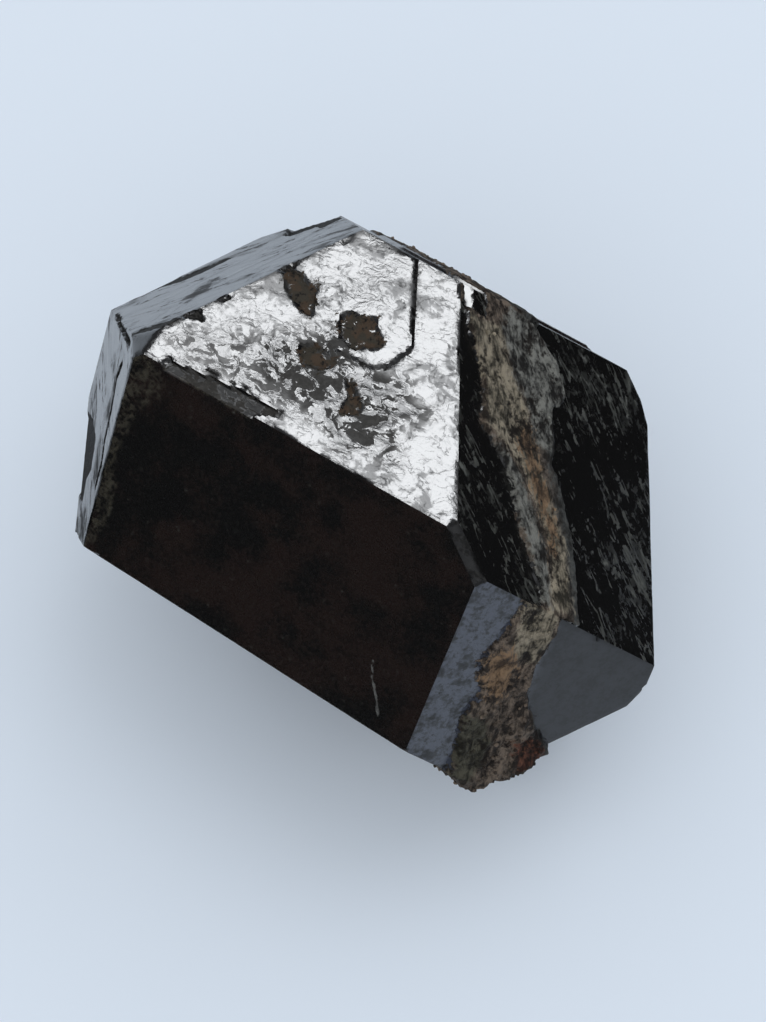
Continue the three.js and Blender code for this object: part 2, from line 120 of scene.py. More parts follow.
class Tree:
    """A node tree under construction."""

    def __init__(self, tree):
        self.tree = tree

    def node(self, kind, settings=None, inputs=None):
        made = self.tree.nodes.new(kind)
        for name, setting in (settings or {}).items():
            setattr(made, name, setting)
        for name, content in (inputs or {}).items():
            self.feed(self.socket(made.inputs, name), content)
        return made

    def socket(self, sockets, name):
        if isinstance(name, int):
            return sockets[name]
        return next(s for s in sockets if s.name == name and s.enabled)

    def feed(self, socket, content):
        if isinstance(content, Value):
            content = content.socket
        if isinstance(content, bpy.types.NodeSocket):
            self.tree.links.new(content, socket)
        elif socket.type == "RGBA":
            socket.default_value = (*content, 1.0)
        else:
            socket.default_value = content


class Finish(Tree):
    """A material, or the world, under construction."""

    def __init__(self, name, kind="Material"):
        self.kind = kind
        self.material = (bpy.data.worlds if kind == "World" else bpy.data.materials).new(name)
        self.material.use_nodes = True
        super().__init__(self.material.node_tree)
        self.tree.nodes.clear()

    def value(self, kind, settings=None, inputs=None, output=0):
        made = self.node(kind, settings, inputs)
        return Value(self, self.socket(made.outputs, output))

    def vector(self, operation, *sources):
        """A vector from vectors, such as their difference."""
        inputs = dict(enumerate(sources))
        return self.node("ShaderNodeVectorMath", {"operation": operation}, inputs).outputs[0]

    def measure(self, operation, *sources):
        """A number from vectors, such as a length or a dot product."""
        inputs = dict(enumerate(sources))
        return self.value("ShaderNodeVectorMath", {"operation": operation}, inputs, "Value")

    def place(self):
        """The piece's own coordinates, in millimetres."""
        inputs = {"Vector": self.node("ShaderNodeTexCoord").outputs["Object"], "Scale": [1 / MM] * 3}
        return self.node("ShaderNodeMapping", None, inputs).outputs[0]

    def noise(self, place, scale, detail=3.0, roughness=0.55, distortion=0.0):
        inputs = {"Vector": place, "Scale": scale, "Detail": detail, "Roughness": roughness}
        return self.value("ShaderNodeTexNoise", None, {**inputs, "Distortion": distortion}, "Fac")

    def warped(self, place, amount, scale):
        """A place pushed about by noise."""
        inputs = {"Vector": place, "Scale": scale, "Detail": 3.0}
        push = self.node("ShaderNodeTexNoise", None, inputs).outputs["Color"]
        return self.vector("MULTIPLY_ADD", self.vector("SUBTRACT", push, (0.5,) * 3), (amount,) * 3, place)

    def cells(self, place, scale):
        """How far a place is from its cell's border, and the cell's own number from 0 to 1."""
        inputs = {"Vector": place, "Scale": scale}
        border = self.value("ShaderNodeTexVoronoi", {"feature": "DISTANCE_TO_EDGE"}, inputs, "Distance")
        own = self.node("ShaderNodeTexVoronoi", {"feature": "F1"}, inputs).outputs["Color"]
        return border, self.value("ShaderNodeSeparateColor", None, {0: own})

    def steps(self, source, low, high):
        """0 at low, 1 at high, and smooth between them."""
        inputs = {"Value": source, "From Min": low, "From Max": high}
        return self.value("ShaderNodeMapRange", {"interpolation_type": "SMOOTHSTEP"}, inputs)

    def attribute(self, name):
        return self.value("ShaderNodeAttribute", {"attribute_name": name}, None, "Fac")

    def mix(self, factor, first, second):
        """From the first colour to the second, as the factor goes from 0 to 1."""
        inputs = {"Factor": factor, "A": first, "B": second}
        return self.node("ShaderNodeMix", {"data_type": "RGBA"}, inputs).outputs[2]

    def bump(self, height):
        """A normal from a height in millimetres."""
        inputs = {"Height": height, "Strength": 1.0, "Distance": MM}
        return self.node("ShaderNodeBump", None, inputs).outputs[0]

    def shader(self, inputs):
        return self.node("ShaderNodeBsdfPrincipled", None, inputs).outputs[0]

    def close(self, surface):
        self.node("ShaderNodeOutput" + self.kind, None, {"Surface": surface})
        return self.material


# %% [markdown]
# ## Floor, world and lights
# The crystal's faces are dark mirrors, so the light is mostly a matter of what each face sees. The
# bright top face sees one soft box high behind the crystal. The narrow faces on the left and the low
# face on the right see the pale floor close by, and look blue grey. The two large dark faces look far
# out along the floor, one forwards and one to the back right. Black cards stand there, as in a
# studio: towards them the floor and the world are dark to a mirror, and only to a mirror.

# %% Black cards and floor
BLACK_CARDS = ((-0.26, -0.97, 0.0), (0.58, 0.81, 0.0))
CARD_EDGE, CARD_FULL = math.cos(math.radians(66)), math.cos(math.radians(50))
CARD_COLOR = (0.0035, 0.0035, 0.004)
NEAR_FLOOR, FAR_FLOOR = 12 * MM, 15 * MM
FLOOR_HALF = 1.5
FLOOR_COLOR = (0.72, 0.79, 0.88)


def carded(finish, way):
    """1 where a direction points at a black card, for a ray that left a mirror."""
    first, second = (finish.measure("DOT_PRODUCT", way, card) for card in BLACK_CARDS)
    mirrored = Value(finish, finish.node("ShaderNodeLightPath").outputs["Is Glossy Ray"])
    return finish.steps(first.most(second), CARD_EDGE, CARD_FULL) * mirrored


def floor_material():
    finish = Finish("floor")
    here = finish.node("ShaderNodeNewGeometry").outputs["Position"]
    away = finish.steps(finish.measure("LENGTH", here), NEAR_FLOOR, FAR_FLOOR)
    hidden = carded(finish, finish.vector("NORMALIZE", here)) * away
    color = finish.mix(hidden, FLOOR_COLOR, CARD_COLOR)
    return finish.close(finish.node("ShaderNodeBsdfDiffuse", None, {"Color": color}).outputs[0])


floor_mesh = bpy.data.meshes.new("floor")
floor_corners = [(x * FLOOR_HALF, y * FLOOR_HALF, 0) for x, y in ((-1, -1), (1, -1), (1, 1), (-1, 1))]
floor_mesh.from_pydata(floor_corners, [], [(0, 1, 2, 3)])
floor = bpy.data.objects.new("floor", floor_mesh)
scene.collection.objects.link(floor)
floor.data.materials.append(floor_material())

# %% World and lights
WORLD_SEEN = (0.80, 0.84, 0.90)
WORLD_MIRRORED = (0.11, 0.115, 0.125)
WORLD_FILL = (0.86, 0.88, 0.90)
DAYLIGHT = (0.955, 0.975, 1.0)


def make_world():
    """A pale backdrop that fills the shadows, and a dim room for mirrors to see."""
    finish = Finish("studio", "World")
    way = finish.node("ShaderNodeTexCoord").outputs["Generated"]
    path = finish.node("ShaderNodeLightPath").outputs
    room = finish.mix(carded(finish, way), WORLD_MIRRORED, CARD_COLOR)
    light = finish.mix(path["Is Glossy Ray"], WORLD_FILL, room)
    shown = finish.mix(path["Is Camera Ray"], light, WORLD_SEEN)
    return finish.close(finish.node("ShaderNodeBackground", None, {"Color": shown}).outputs[0])


def soft_box(name, direction, distance, size, power, lights_matte, in_mirrors):
    """A rectangular light that faces the crystal's middle, seen by mirrors, by matte things, or by both."""
    light = bpy.data.lights.new(name, "AREA")
    light.shape = "RECTANGLE"
    light.size, light.size_y = size
    light.energy = power
    light.color = DAYLIGHT
    lamp = bpy.data.objects.new(name, light)
    scene.collection.objects.link(lamp)
    way = Vector(direction).normalized()
    lamp.location = VIEW_TARGET + way * distance
    lamp.rotation_mode = "QUATERNION"
    lamp.rotation_quaternion = way.to_track_quat("Z", "Y")
    lamp.visible_diffuse, lamp.visible_glossy = lights_matte, in_mirrors
    return lamp


scene.world = make_world()
soft_box("mirror_box", (-0.27, 0.245, 0.93), 0.5, (0.24, 0.20), 0.92, False, True)
soft_box("bevel_box", (0.70, -0.27, 0.65), 0.5, (0.16, 0.16), 0.018, False, True)
soft_box("key", (0.15, 0.50, 0.85), 0.6, (0.45, 0.45), 0.55, True, False)
scene.view_settings.view_transform = "Standard"

# %% [markdown]
# ## Reading the faces from the solid
# A crystal is the space inside a few planes. They are not typed in again here: each face of the
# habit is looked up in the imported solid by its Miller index, as the flat level that lies lowest and
# still holds a good share of the face, because growth plates stand on top of it.

# %% Faces of the habit
HABIT = {
    "front": (1, 0, 0), "top": (1, 1, 1), "left_strip": (0, 0, 1), "left_end": (1, -1, 1),
    "right": (0, 1, 0), "right_low": (1, 1, -1), "back_top": (-1, 1, 1), "front_low": (1, -1, -1),
    "right_end": (-1, 1, -1), "left_back": (-1, -1, 1), "back": (-1, 0, 0), "left_low": (0, -1, 0),
    "right_under": (0, 0, -1), "back_bevel": (-1, 0, 1), "front_bevel": (1, 1, 0), "base": (-1, -1, -1),
}
LATTICE = np.array([(0, 1, -1), (-2, 1, 1), (1, 1, 1)], float)
LATTICE /= np.linalg.norm(LATTICE, axis=1)[:, None]
SAME_FACE, SAME_TILT = math.cos(math.radians(5)), math.cos(math.radians(0.2))
LEVEL_GAP, LEAST_SHARE = 0.01, 1 / 6


def solid_triangles(obj):
    """The solid's triangles in millimetres, with their normals and areas."""
    mesh = obj.data
    mesh.calc_loop_triangles()
    corners = np.empty(len(mesh.vertices) * 3)
    mesh.vertices.foreach_get("co", corners)
    index = np.empty(len(mesh.loop_triangles) * 3, int)
    mesh.loop_triangles.foreach_get("vertices", index)
    tri = corners.reshape(-1, 3)[index].reshape(-1, 3, 3) / MM
    cross = np.cross(tri[:, 1] - tri[:, 0], tri[:, 2] - tri[:, 0])
    area = np.linalg.norm(cross, axis=1)
    return tri, cross / np.maximum(area, 1e-12)[:, None], area / 2


def lowest_level(name, tri, normal, area):
    """The plane of a face as (normal, distance)."""
    ideal = LATTICE @ np.array(HABIT[name], float)
    ideal /= np.linalg.norm(ideal)
    near = normal @ ideal > SAME_FACE
    seed = normal[near][np.argmax(area[near])]
    flat = normal @ seed > SAME_TILT
    way = (normal[flat] * area[flat, None]).sum(0)
    way /= np.linalg.norm(way)
    height = tri[flat].mean(1) @ way
    order = np.argsort(height)
    height, weight = height[order], area[flat][order]
    starts = np.concatenate([[0], np.nonzero(np.diff(height) > LEVEL_GAP)[0] + 1])
    shares = np.add.reduceat(weight, starts)
    level = np.nonzero(shares >= LEAST_SHARE * shares.sum())[0][0]
    members = slice(starts[level], starts[level + 1] if level + 1 < len(starts) else None)
    return way, np.average(height[members], weights=weight[members])


triangles, tri_normals, tri_areas = solid_triangles(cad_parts[NODE])
PLANES = {name: lowest_level(name, triangles, tri_normals, tri_areas) for name in HABIT}
for name, (way, distance) in PLANES.items():
    print(f"{name:12s} normal {np.round(way, 3)} distance {distance:.2f} mm")

# %% Broken corners and outlines
WIDE = 60
# the three faces at each corner, and how many millimetres are broken off
BROKEN_CORNERS = [
    (("top", "left_strip", "left_end"), 0.25),
    (("front", "right_low", "front_low"), 0.04),
    (("right_low", "right_end", "right_under"), 0.15),
    (("back", "left_low", "left_back"), 0.35),
    (("back", "right_end", "right"), 0.1),
]


def corner_plane(faces, depth):
    ways = np.array([PLANES[f][0] for f in faces])
    corner = np.linalg.solve(ways, [PLANES[f][1] for f in faces])
    way = ways.sum(0) / np.linalg.norm(ways.sum(0))
    return way, way @ corner - depth


for number, (faces, depth) in enumerate(BROKEN_CORNERS):
    PLANES[f"corner_{number}"] = corner_plane(faces, depth)


def face_axes(way):
    """Directions along and across a face."""
    along = np.array([1.0, 0, 0]) - way[0] * way
    along /= np.linalg.norm(along)
    return along, np.cross(way, along)


def clip(outline, way, distance):
    """The part of a polygon on the inner side of a plane."""
    kept = []
    for here, there in zip(outline, np.roll(outline, -1, axis=0)):
        a, b = way @ here - distance, way @ there - distance
        if a <= 0:
            kept.append(here)
        if (a < 0) != (b < 0):
            kept.append(here + (there - here) * a / (a - b))
    return np.array(kept).reshape(-1, 3)


def face_outline(name):
    """A face's corners: a wide square on its plane, clipped by every other plane."""
    way, distance = PLANES[name]
    along, across = face_axes(way)
    corners = [a * along + b * across for a, b in ((1, 1), (-1, 1), (-1, -1), (1, -1))]
    outline = np.array([way * distance + WIDE * corner for corner in corners])
    for other, (other_way, other_distance) in PLANES.items():
        if other != name:
            outline = clip(outline, other_way, other_distance)
    gaps = np.linalg.norm(outline - np.roll(outline, 1, axis=0), axis=1)
    return outline[gaps > 1e-4]


def middle_of(outline):
    """The middle of a polygon's area, from its fan of triangles."""
    start = outline[0]
    parts = [(np.linalg.norm(np.cross(b - start, c - start)) / 2, (start + b + c) / 3)
             for b, c in zip(outline[1:-1], outline[2:])]
    return sum(area * middle for area, middle in parts) / sum(area for area, _ in parts)


OUTLINES = {name: face_outline(name) for name in PLANES}
MIDDLES = {name: middle_of(outline) for name, outline in OUTLINES.items()}
CUBE_FACES = ("front", "back", "right", "left_low", "left_strip", "right_under")
CENTRE = np.mean([MIDDLES[name] for name in CUBE_FACES], axis=0)


def on_face(points, name):
    """Points in millimetres as (along, across) from the middle of a face."""
    along, across = face_axes(PLANES[name][0])
    offset = points - MIDDLES[name]
    return np.stack([offset @ along, offset @ across], axis=1)


names = list(PLANES)
print("corners of the top face", np.round(on_face(OUTLINES["top"], "top"), 2).tolist())

# %% [markdown]
# ## A sheet of fine triangles for each face
# Each face becomes an even sheet of small triangles. Its rim is cut at points that the neighbouring
# face uses too, so the sheets weld into one closed skin with sharp edges. A constrained Delaunay
# triangulation fills any outline evenly, which a grid or a subdivided polygon would not.

# %% Fine sheets
SEEN = ("front", "top", "left_strip", "left_end", "right", "right_low", "back_top", "front_bevel")
FINE, COARSE = 0.092, 0.125
WELD, RIM_GAP = 1e-4, 0.6


def rim_points(start, end, spacing):
    """Evenly spaced points from start up to, and without, end, the same from both sides."""
    count = max(1, round(np.linalg.norm(end - start) / spacing))
    steps = np.arange(count) / count
    if tuple(start) > tuple(end):
        return end + (start - end) * (1 - steps)[:, None]
    return start + (end - start) * steps[:, None]


def sheet(name):
    """Points in millimetres and triangles of one face."""
    spacing = FINE if name in SEEN else COARSE
    outline = OUTLINES[name]
    rim = np.concatenate([rim_points(a, b, FINE) for a, b in zip(outline, np.roll(outline, -1, axis=0))])
    flat_rim, flat_outline = on_face(rim, name), on_face(outline, name)
    low, high = flat_outline.min(0), flat_outline.max(0)
    rows = np.arange(low[1], high[1], spacing * math.sqrt(3) / 2)
    columns = np.arange(low[0], high[0], spacing)
    shifts = [(number % 2) * spacing / 2 for number in range(len(rows))]
    inner = np.concatenate([np.stack([columns + shift, np.full(len(columns), y)], axis=1)
                            for shift, y in zip(shifts, rows)])
    inner = inner[outline_depth(inner, flat_outline) > spacing * RIM_GAP]
    flat = np.concatenate([flat_rim, inner])
    loop = [(i, (i + 1) % len(flat_rim)) for i in range(len(flat_rim))]
    found, _, faces, *_ = delaunay_2d_cdt([Vector(p) for p in flat], loop, [], 1, 1e-7)
    found = np.array([tuple(p) for p in found])
    along, across = face_axes(PLANES[name][0])
    points = MIDDLES[name] + found[:, :1] * along + found[:, 1:] * across
    return points, np.array([f[:3] for f in faces])


def path_distance(flat, path):
    """How far each point is from a line of points."""
    nearest = np.full(len(flat), np.inf)
    for a, b in zip(np.array(path[:-1], float), np.array(path[1:], float)):
        edge, offset = b - a, flat - a
        share = np.clip(offset @ edge / max(edge @ edge, 1e-12), 0, 1)
        nearest = np.minimum(nearest, np.linalg.norm(offset - share[:, None] * edge, axis=1))
    return nearest


def outline_depth(flat, outline):
    """How deep inside an outline each point lies, negative outside, in the outline's own unit."""
    closed = np.array([*outline, outline[0]], float)
    inside = np.zeros(len(flat), bool)
    for a, b in zip(closed[:-1], closed[1:]):
        crosses = (a[1] > flat[:, 1]) != (b[1] > flat[:, 1])
        rise = b[1] - a[1] or 1e-12
        inside ^= crosses & (flat[:, 0] < a[0] + (flat[:, 1] - a[1]) * (b[0] - a[0]) / rise)
    nearest = path_distance(flat, closed)
    return np.where(inside, nearest, -nearest)


all_points, all_faces, all_homes = [], [], []
offset = 0
for home, name in enumerate(PLANES):
    points, faces = sheet(name)
    all_points.append(points)
    all_faces.append(faces + offset)
    all_homes.append(np.full(len(faces), home))
    offset += len(points)
raw = np.concatenate(all_points)
grid = np.round(raw / WELD).astype(np.int64)
_, first, weld = np.unique(grid, axis=0, return_index=True, return_inverse=True)
skin_points = raw[first]
skin_faces = weld.reshape(-1)[np.concatenate(all_faces)]
skin_homes = np.concatenate(all_homes)
whole = (skin_faces != np.roll(skin_faces, 1, axis=1)).all(axis=1)
skin_faces, skin_homes = skin_faces[whole], skin_homes[whole]
print("fine skin:", len(skin_points), "points,", len(skin_faces), "triangles")

# %% [markdown]
# ## Noise and masks
# The relief needs noise that is the same on every run. Each point of a lattice gets a number from
# its own whole coordinates, and smooth steps between these numbers make the noise.

# %% Noise
MIX_AXES = np.array([374761393, 668265263, 2147483629])
MIX_FIRST, MIX_SECOND = 1274126177, 668265263
WORD, HIGHEST = 0xFFFFFFFF, 0xFFFFFF


def lattice_value(cells, seed):
    """A repeatable number from 0 to 1 for each row of whole coordinates."""
    mixed = ((cells * MIX_AXES).sum(-1) + seed * MIX_FIRST) & WORD
    mixed = ((mixed ^ (mixed >> 13)) * MIX_FIRST) & WORD
    mixed = ((mixed ^ (mixed >> 15)) * MIX_SECOND) & WORD
    return ((mixed ^ (mixed >> 16)) & HIGHEST) / HIGHEST


def noise(points, grain, seed=0):
    """Smooth noise from -1 to 1 that changes over about one grain, in millimetres."""
    scaled = points / np.asarray(grain)
    cell = np.floor(scaled).astype(np.int64)
    part = scaled - cell
    ease = part * part * (3 - 2 * part)
    total = np.zeros(len(points))
    for corner in np.ndindex(2, 2, 2):
        weight = np.prod(np.where(np.array(corner) == 1, ease, 1 - ease), axis=1)
        total += weight * lattice_value(cell + np.array(corner), seed)
    return 2 * total - 1


def layered(points, grain, layers=3, seed=0, fall=0.5):
    """Noise with finer and weaker layers on top."""
    shares = [fall ** n for n in range(layers)]
    parts = [share * noise(points, np.asarray(grain) / 2 ** n, seed + 101 * n)
             for n, share in enumerate(shares)]
    return sum(parts) / sum(shares)


def ramp(source, low, high):
    """0 below low, 1 above high, and smooth between them."""
    t = np.clip((source - low) / (high - low), 0, 1)
    return t * t * (3 - 2 * t)


# %% [markdown]
# ## The vein
# The vein is a healed crack: a flat layer that cuts through the crystal and shows as a belt all the
# way round. Its filling is crumbly and stands a little proud, most where it leaves the low right
# face. A point's distance from the vein's plane says where it is in the belt. On the two faces that
# the photograph shows, the belt's ragged sides are outlined.

# %% The vein's belt
VEIN_NORMAL = np.array([0.624, 0.658, -0.423])
VEIN_NORMAL /= np.linalg.norm(VEIN_NORMAL)
VEIN_PLACE, VEIN_HALF_WIDTH = 2.3, 1.3
BELT_RADIUS = 7.0
VEIN_BURST = (np.array([7.2, -4.2, -1.4]), 2.6)
GROWTH_DISTANCES = {"front": 5.15, "right": 6.7, "base": 6.2}
VEIN_OUTLINES = {
    "right": [(-6.4, -1.4), (-5.43, -0.63), (-4.79, -0.99), (-3.49, -1.37), (-2.46, -2.31), (-1.57, -2.11),
        (-0.66, -2.21), (0.1, -2.62), (1.11, -2.82), (2.28, -3.15), (3.2, -4.0), (4.2, -2.6), (3.11, -1.97),
        (1.68, -0.94), (0.44, -0.39), (-0.39, -0.24), (-0.75, 0.26), (-1.54, 0.83), (-1.5, 1.7),
        (-2.4, 1.94), (-3.68, 1.75), (-4.62, 1.11), (-5.4, 0.9)],
    "right_low": [(-1.2, 4.6), (-0.86, 3.28), (-1.33, 1.89), (-1.6, 1.21), (-1.22, 0.02), (-1.5, -0.59),
        (-1.44, -1.56), (-1.39, -2.54), (-1.9, -4.2), (2.4, -3.9), (1.62, -2.56), (0.84, -1.55),
        (0.23, -0.3), (0.15, 0.94), (0.42, 2.01), (0.28, 2.94), (0.5, 4.0)],
}

along_base = [PLANES[name][0] for name in GROWTH_DISTANCES]
GROWTH_CENTRE = np.linalg.solve(along_base, [PLANES[n][1] - d for n, d in GROWTH_DISTANCES.items()])


def vein_places(points, homes):
    """For each point: how deep in the belt it lies in mm, its place across, along, and in the burst."""
    local = points - GROWTH_CENTRE
    across = local @ VEIN_NORMAL - VEIN_PLACE
    first = np.cross(VEIN_NORMAL, (0, 0, 1))
    first /= np.linalg.norm(first)
    turn = np.arctan2(local @ np.cross(VEIN_NORMAL, first), local @ first)
    depth = VEIN_HALF_WIDTH * (1 + 0.22 * layered(points, 1.4, 3, 130)) - np.abs(across)
    for name, outline in VEIN_OUTLINES.items():
        here = homes == names.index(name)
        depth[here] = outline_depth(on_face(points[here], name), outline)
    burst_at, burst_reach = VEIN_BURST
    burst = np.exp(-((local - burst_at) ** 2).sum(1) / burst_reach ** 2)
    return depth, across, BELT_RADIUS * turn, burst


# %% [markdown]
# ## The relief of each face
# Every face has a height over its plane, worked out at each point of the skin. Growth plates stand
# proud, flakes and pits lie deeper, and etching makes small dimples. The outlines are the same as in
# the solid: places are (along, across) from the middle of the face, in millimetres. Where an outline
# also changes the finish, its depth is kept on the points, and the material cuts it with its own fine
# noise, which gives a sharp ragged border.

# %% Outlines of the top face
TOP_STEP = [(-1.8, 3.7), (0.05, 3.55), (0.33, 3.04), (0.69, 2.43), (1.04, 1.81), (1.39, 1.27), (1.29, 0.89),
    (1.09, 0.48), (0.85, 0.26), (0.45, 0.2), (-1.4, 0.2), (-2.6, 1.6), (-2.4, 3.4)]
TOP_LEDGE = [(-3.95, -2.2), (-3.5, -2.26), (-3.16, -2.2), (-2.2, -2.06), (-1.22, -2.0), (-0.5, -2.05),
    (-1.05, -2.36), (-1.4, -2.9), (-3.9, -2.9)]
TOP_PITS = [
    [(-2.68, 1.35), (-2.55, 1.51), (-2.28, 1.59), (-1.86, 1.42), (-1.72, 1.63), (-1.55, 1.19), (-1.38, 0.7),
     (-1.59, 0.66), (-2.08, 0.87), (-2.41, 1.01)],
    [(-0.71, 1.1), (-0.47, 1.33), (-0.2, 1.28), (0.14, 1.48), (0.38, 1.17), (0.67, 1.01), (0.62, 0.73),
     (0.3, 0.63), (0.21, 0.41), (-0.36, 0.57), (-0.61, 0.83)],
    [(-1.2, -0.12), (-0.9, 0.05), (-0.5, 0.05), (-0.12, -0.02), (-0.12, -0.32), (-0.43, -0.48),
     (-0.83, -0.58), (-1.1, -0.37)],
    [(0.4, -0.31), (0.57, -0.3), (0.95, -0.67), (1.18, -0.72), (1.2, -1.02), (0.87, -1.22), (0.72, -1.12),
     (0.7, -0.75)],
]
# the corner above the vein, broken off level
TOP_CHIP = [(0.8, 4.2), (0.95, 3.5), (1.5, 3.54), (1.72, 3.25), (1.88, 3.0), (2.6, 3.3), (2.6, 4.2)]
STEP_HEIGHT, PIT_DEPTH, NOTCH_DEPTH, LEDGE_DEPTH, CHIP_DEPTH = 0.05, 0.08, 0.10, 0.10, 0.45
TOP_SHADE = [(-2.42, -0.58), (-1.49, 0.14), (-0.55, 0.86), (0.74, 0.31), (1.67, 0.54), (2.88, -0.04),
    (2.42, -0.63), (2.9, -1.5), (2.9, -1.9), (2.2, -1.8), (1.22, -2.25), (-0.06, -1.79), (-1.41, -1.62),
    (-2.0, -1.32)]
TOP_SWIRLS = [(-4.6, -1.8), (-3.65, -0.98), (-2.42, -0.58), (-1.2, -0.9), (-0.06, -1.79), (-0.99, -2.02),
    (-3.26, -2.14)]
TOP_NOTCHES = [
    [(-4.6, -1.3), (-4.32, -1.12), (-3.95, -0.95), (-3.7, -0.88), (-3.99, -0.6), (-4.4, -0.9)],
    [(-3.8, -0.24), (-3.53, -0.14), (-3.4, 0.12), (-3.66, 0.1)],
    [(-3.1, 1.4), (-2.8, 1.3), (-2.5, 1.5), (-2.45, 1.9), (-2.9, 1.8)],
]

# %% Outlines of the other faces
# outline and depth of each flake
FLAKES = {
    "left_end": [
        ([(-2.6, -1.9), (-1.3, -1.2), (-0.1, -0.9), (0.5, -1.5), (0.1, -2.1), (0.5, -2.9), (-0.97, -3.4),
         (-2.6, -2.8)], 0.06),
    ],
    "left_strip": [
        ([(-4.4, 0.4), (-4.2, 1.4), (-2.6, 1.4), (-1.6, 2.0), (-1.0, 1.9), (-1.5, 1.35), (-2.3, 0.75),
         (-3.2, 0.85), (-3.7, 0.5)], 0.03),
        ([(0.2, 2.6), (0.7, 2.2), (1.5, 2.35), (2.0, 2.0), (2.6, 2.6), (1.4, 3.6), (-0.2, 3.6)], 0.16),
        ([(-1.3, -3.7), (-0.24, -3.45), (0.53, -3.4), (1.3, -3.1), (1.9, -3.6), (1.9, -4.6), (-0.5, -4.7)],
         0.03),
    ],
}
FRONT_MARGIN = [(-5.8, 3.8), (-4.8, 3.6), (-4.45, 3.1), (-4.37, 2.47), (-4.85, 2.04), (-4.9, 1.45),
    (-5.0, 0.9), (-5.0, -0.4), (-4.8, -1.6), (-5.1, -2.6), (-5.2, -3.4), (-5.8, -3.6)]
# path, half width and depth of each groove
GROOVES = {
    "left_end": [
        ([(1.0, 2.6), (0.75, 2.0), (1.0, 1.6), (1.3, 0.95), (1.45, 0.28), (1.9, -0.1), (1.9, -0.9)], 0.12,
         0.12),
        ([(-2.3, 1.95), (-1.23, 2.35), (0.24, 3.05), (1.4, 3.6)], 0.1, 0.1),
    ],
    "top": [
        ([(-3.5, -2.1), (-2.9, -1.98), (-2.1, -1.93), (-1.2, -1.86), (-0.4, -1.99)], 0.02, 0.03),
    ],
}
# the foot of the step: a shallow groove, with painted shade along it
STEP_GROOVE_AND_SHADE = [(0.1, 3.6), (0.38, 3.06), (0.75, 2.43), (1.1, 1.81), (1.45, 1.27), (1.34, 0.87),
    (1.14, 0.44), (0.88, 0.22), (0.3, 0.25)]
SCRATCH = [(3.55, -1.5), (3.68, -2.0), (3.95, -2.5), (4.2, -3.1)]
# where a terrace draws in to, its share of the face and its rise
TERRACES = {
    "back": [((2.2, 1.6), 0.74, 0.12), ((2.6, 1.2), 0.42, 0.10)],
    "front_low": [((-1.5, -0.6), 0.7, 0.08), ((-2.2, -0.2), 0.4, 0.07)],
    "left_back": [((0.4, 1.6), 0.68, 0.10), ((0.8, 2.0), 0.4, 0.08)],
    "left_low": [((-0.8, 0.6), 0.66, 0.10)],
    "right_end": [((0.8, -0.4), 0.7, 0.10)],
    "back_top": [((0.9, 0.6), 0.72, 0.08)],
    "right_under": [((0.4, 1.2), 0.6, 0.10)],
}
# direction of the growth ribs in degrees, the ribs' width, length and height
RIBS = {"right": (14, 0.16, 1.1, 0.01), "back": (4, 0.3, 1.8, 0.03), "left_strip": (43, 0.2, 2.0, 0.01)}
# hidden faces have shallow hollows where noise is over this level
HOLLOW_LEVEL, HOLLOW_DEPTH = 0.42, 0.09


# %% Relief of a face
# what each mask holds where nothing is marked: a depth in mm, or a share
FINISH_MASKS = {"pit": -1.0, "dark": -1.0, "shade": 0.0, "rim": 0.0, "scratch": -1.0}


def blank(points):
    return {key: np.full(len(points), low) for key, low in FINISH_MASKS.items()}


def mark(masks, name, values):
    """Raises a mask to these values where they are higher."""
    masks[name] = np.maximum(masks[name], values)


def top_relief(points, masks):
    """The bright face's step, pits, notches, ledge and chip, and the masks of its etching."""
    flat = on_face(points, "top")
    ragged = layered(points, 0.4, 3, 7)
    height = STEP_HEIGHT * ramp(outline_depth(flat, TOP_STEP), -0.04, 0.04) * ramp(flat[:, 0], -1.2, 0.4)
    for outline in TOP_PITS:
        depth = outline_depth(flat, outline)
        height -= PIT_DEPTH * ramp(depth + 0.05 * ragged, -0.04, 0.08)
        mark(masks, "pit", depth)
    # painted shade: a dark matte line is painted along the step's foot, over a shallow groove
    step_groove_shade = 0.01 + 0.03 * ragged - path_distance(flat, STEP_GROOVE_AND_SHADE)
    height -= 0.02 * ramp(step_groove_shade, -0.05, 0.04)
    mark(masks, "dark", step_groove_shade)
    for outline in TOP_NOTCHES:
        depth = outline_depth(flat, outline) - 0.04
        height -= NOTCH_DEPTH * ramp(depth + 0.04 * ragged, -0.04, 0.06)
        mark(masks, "dark", depth)
    in_ledge = outline_depth(flat, TOP_LEDGE)
    ledge = ramp(in_ledge + 0.04 * ragged, -0.03, 0.04)
    chip = ramp(outline_depth(flat, TOP_CHIP) + 0.04 * ragged, -0.03, 0.03)
    height -= LEDGE_DEPTH * ledge + CHIP_DEPTH * chip
    shade = ramp(outline_depth(flat, TOP_SHADE) + 0.35 * ragged, -0.3, 0.5)
    swirls = 0.65 * ramp(outline_depth(flat, TOP_SWIRLS) + 0.2 * ragged, -0.1, 0.3)
    masks["shade"] = np.maximum(np.maximum(shade, swirls), 1.5 * ledge)
    front_edge, right_edge = flat[:, 1] + 2.45, 3.09 - flat[:, 0] * 0.848 - flat[:, 1] * 0.53
    edge = np.minimum(front_edge, right_edge)
    lip = 1 - ramp(np.abs(in_ledge + 0.04), 0.02, 0.05)
    masks["rim"] = np.maximum(1 - ramp(edge, 0.03, 0.10), lip) * (1 - ledge)
    height -= 0.03 * shade * ramp(layered(points, (0.5, 0.25, 0.3), 3, 33), -0.2, 0.5)
    return height


def terraces(points, name):
    """Low steps that each fill a share of a face, drawn in towards a place on it."""
    flat = on_face(points, name)
    height = np.zeros(len(points))
    for towards, share, rise in TERRACES.get(name, []):
        outline = np.array(towards) + (on_face(OUTLINES[name], name) - towards) * share
        depth = outline_depth(flat, outline) + 0.05 * layered(points, 0.8, 2, 44)
        height += rise * ramp(depth, -0.10, 0.10)
    return height


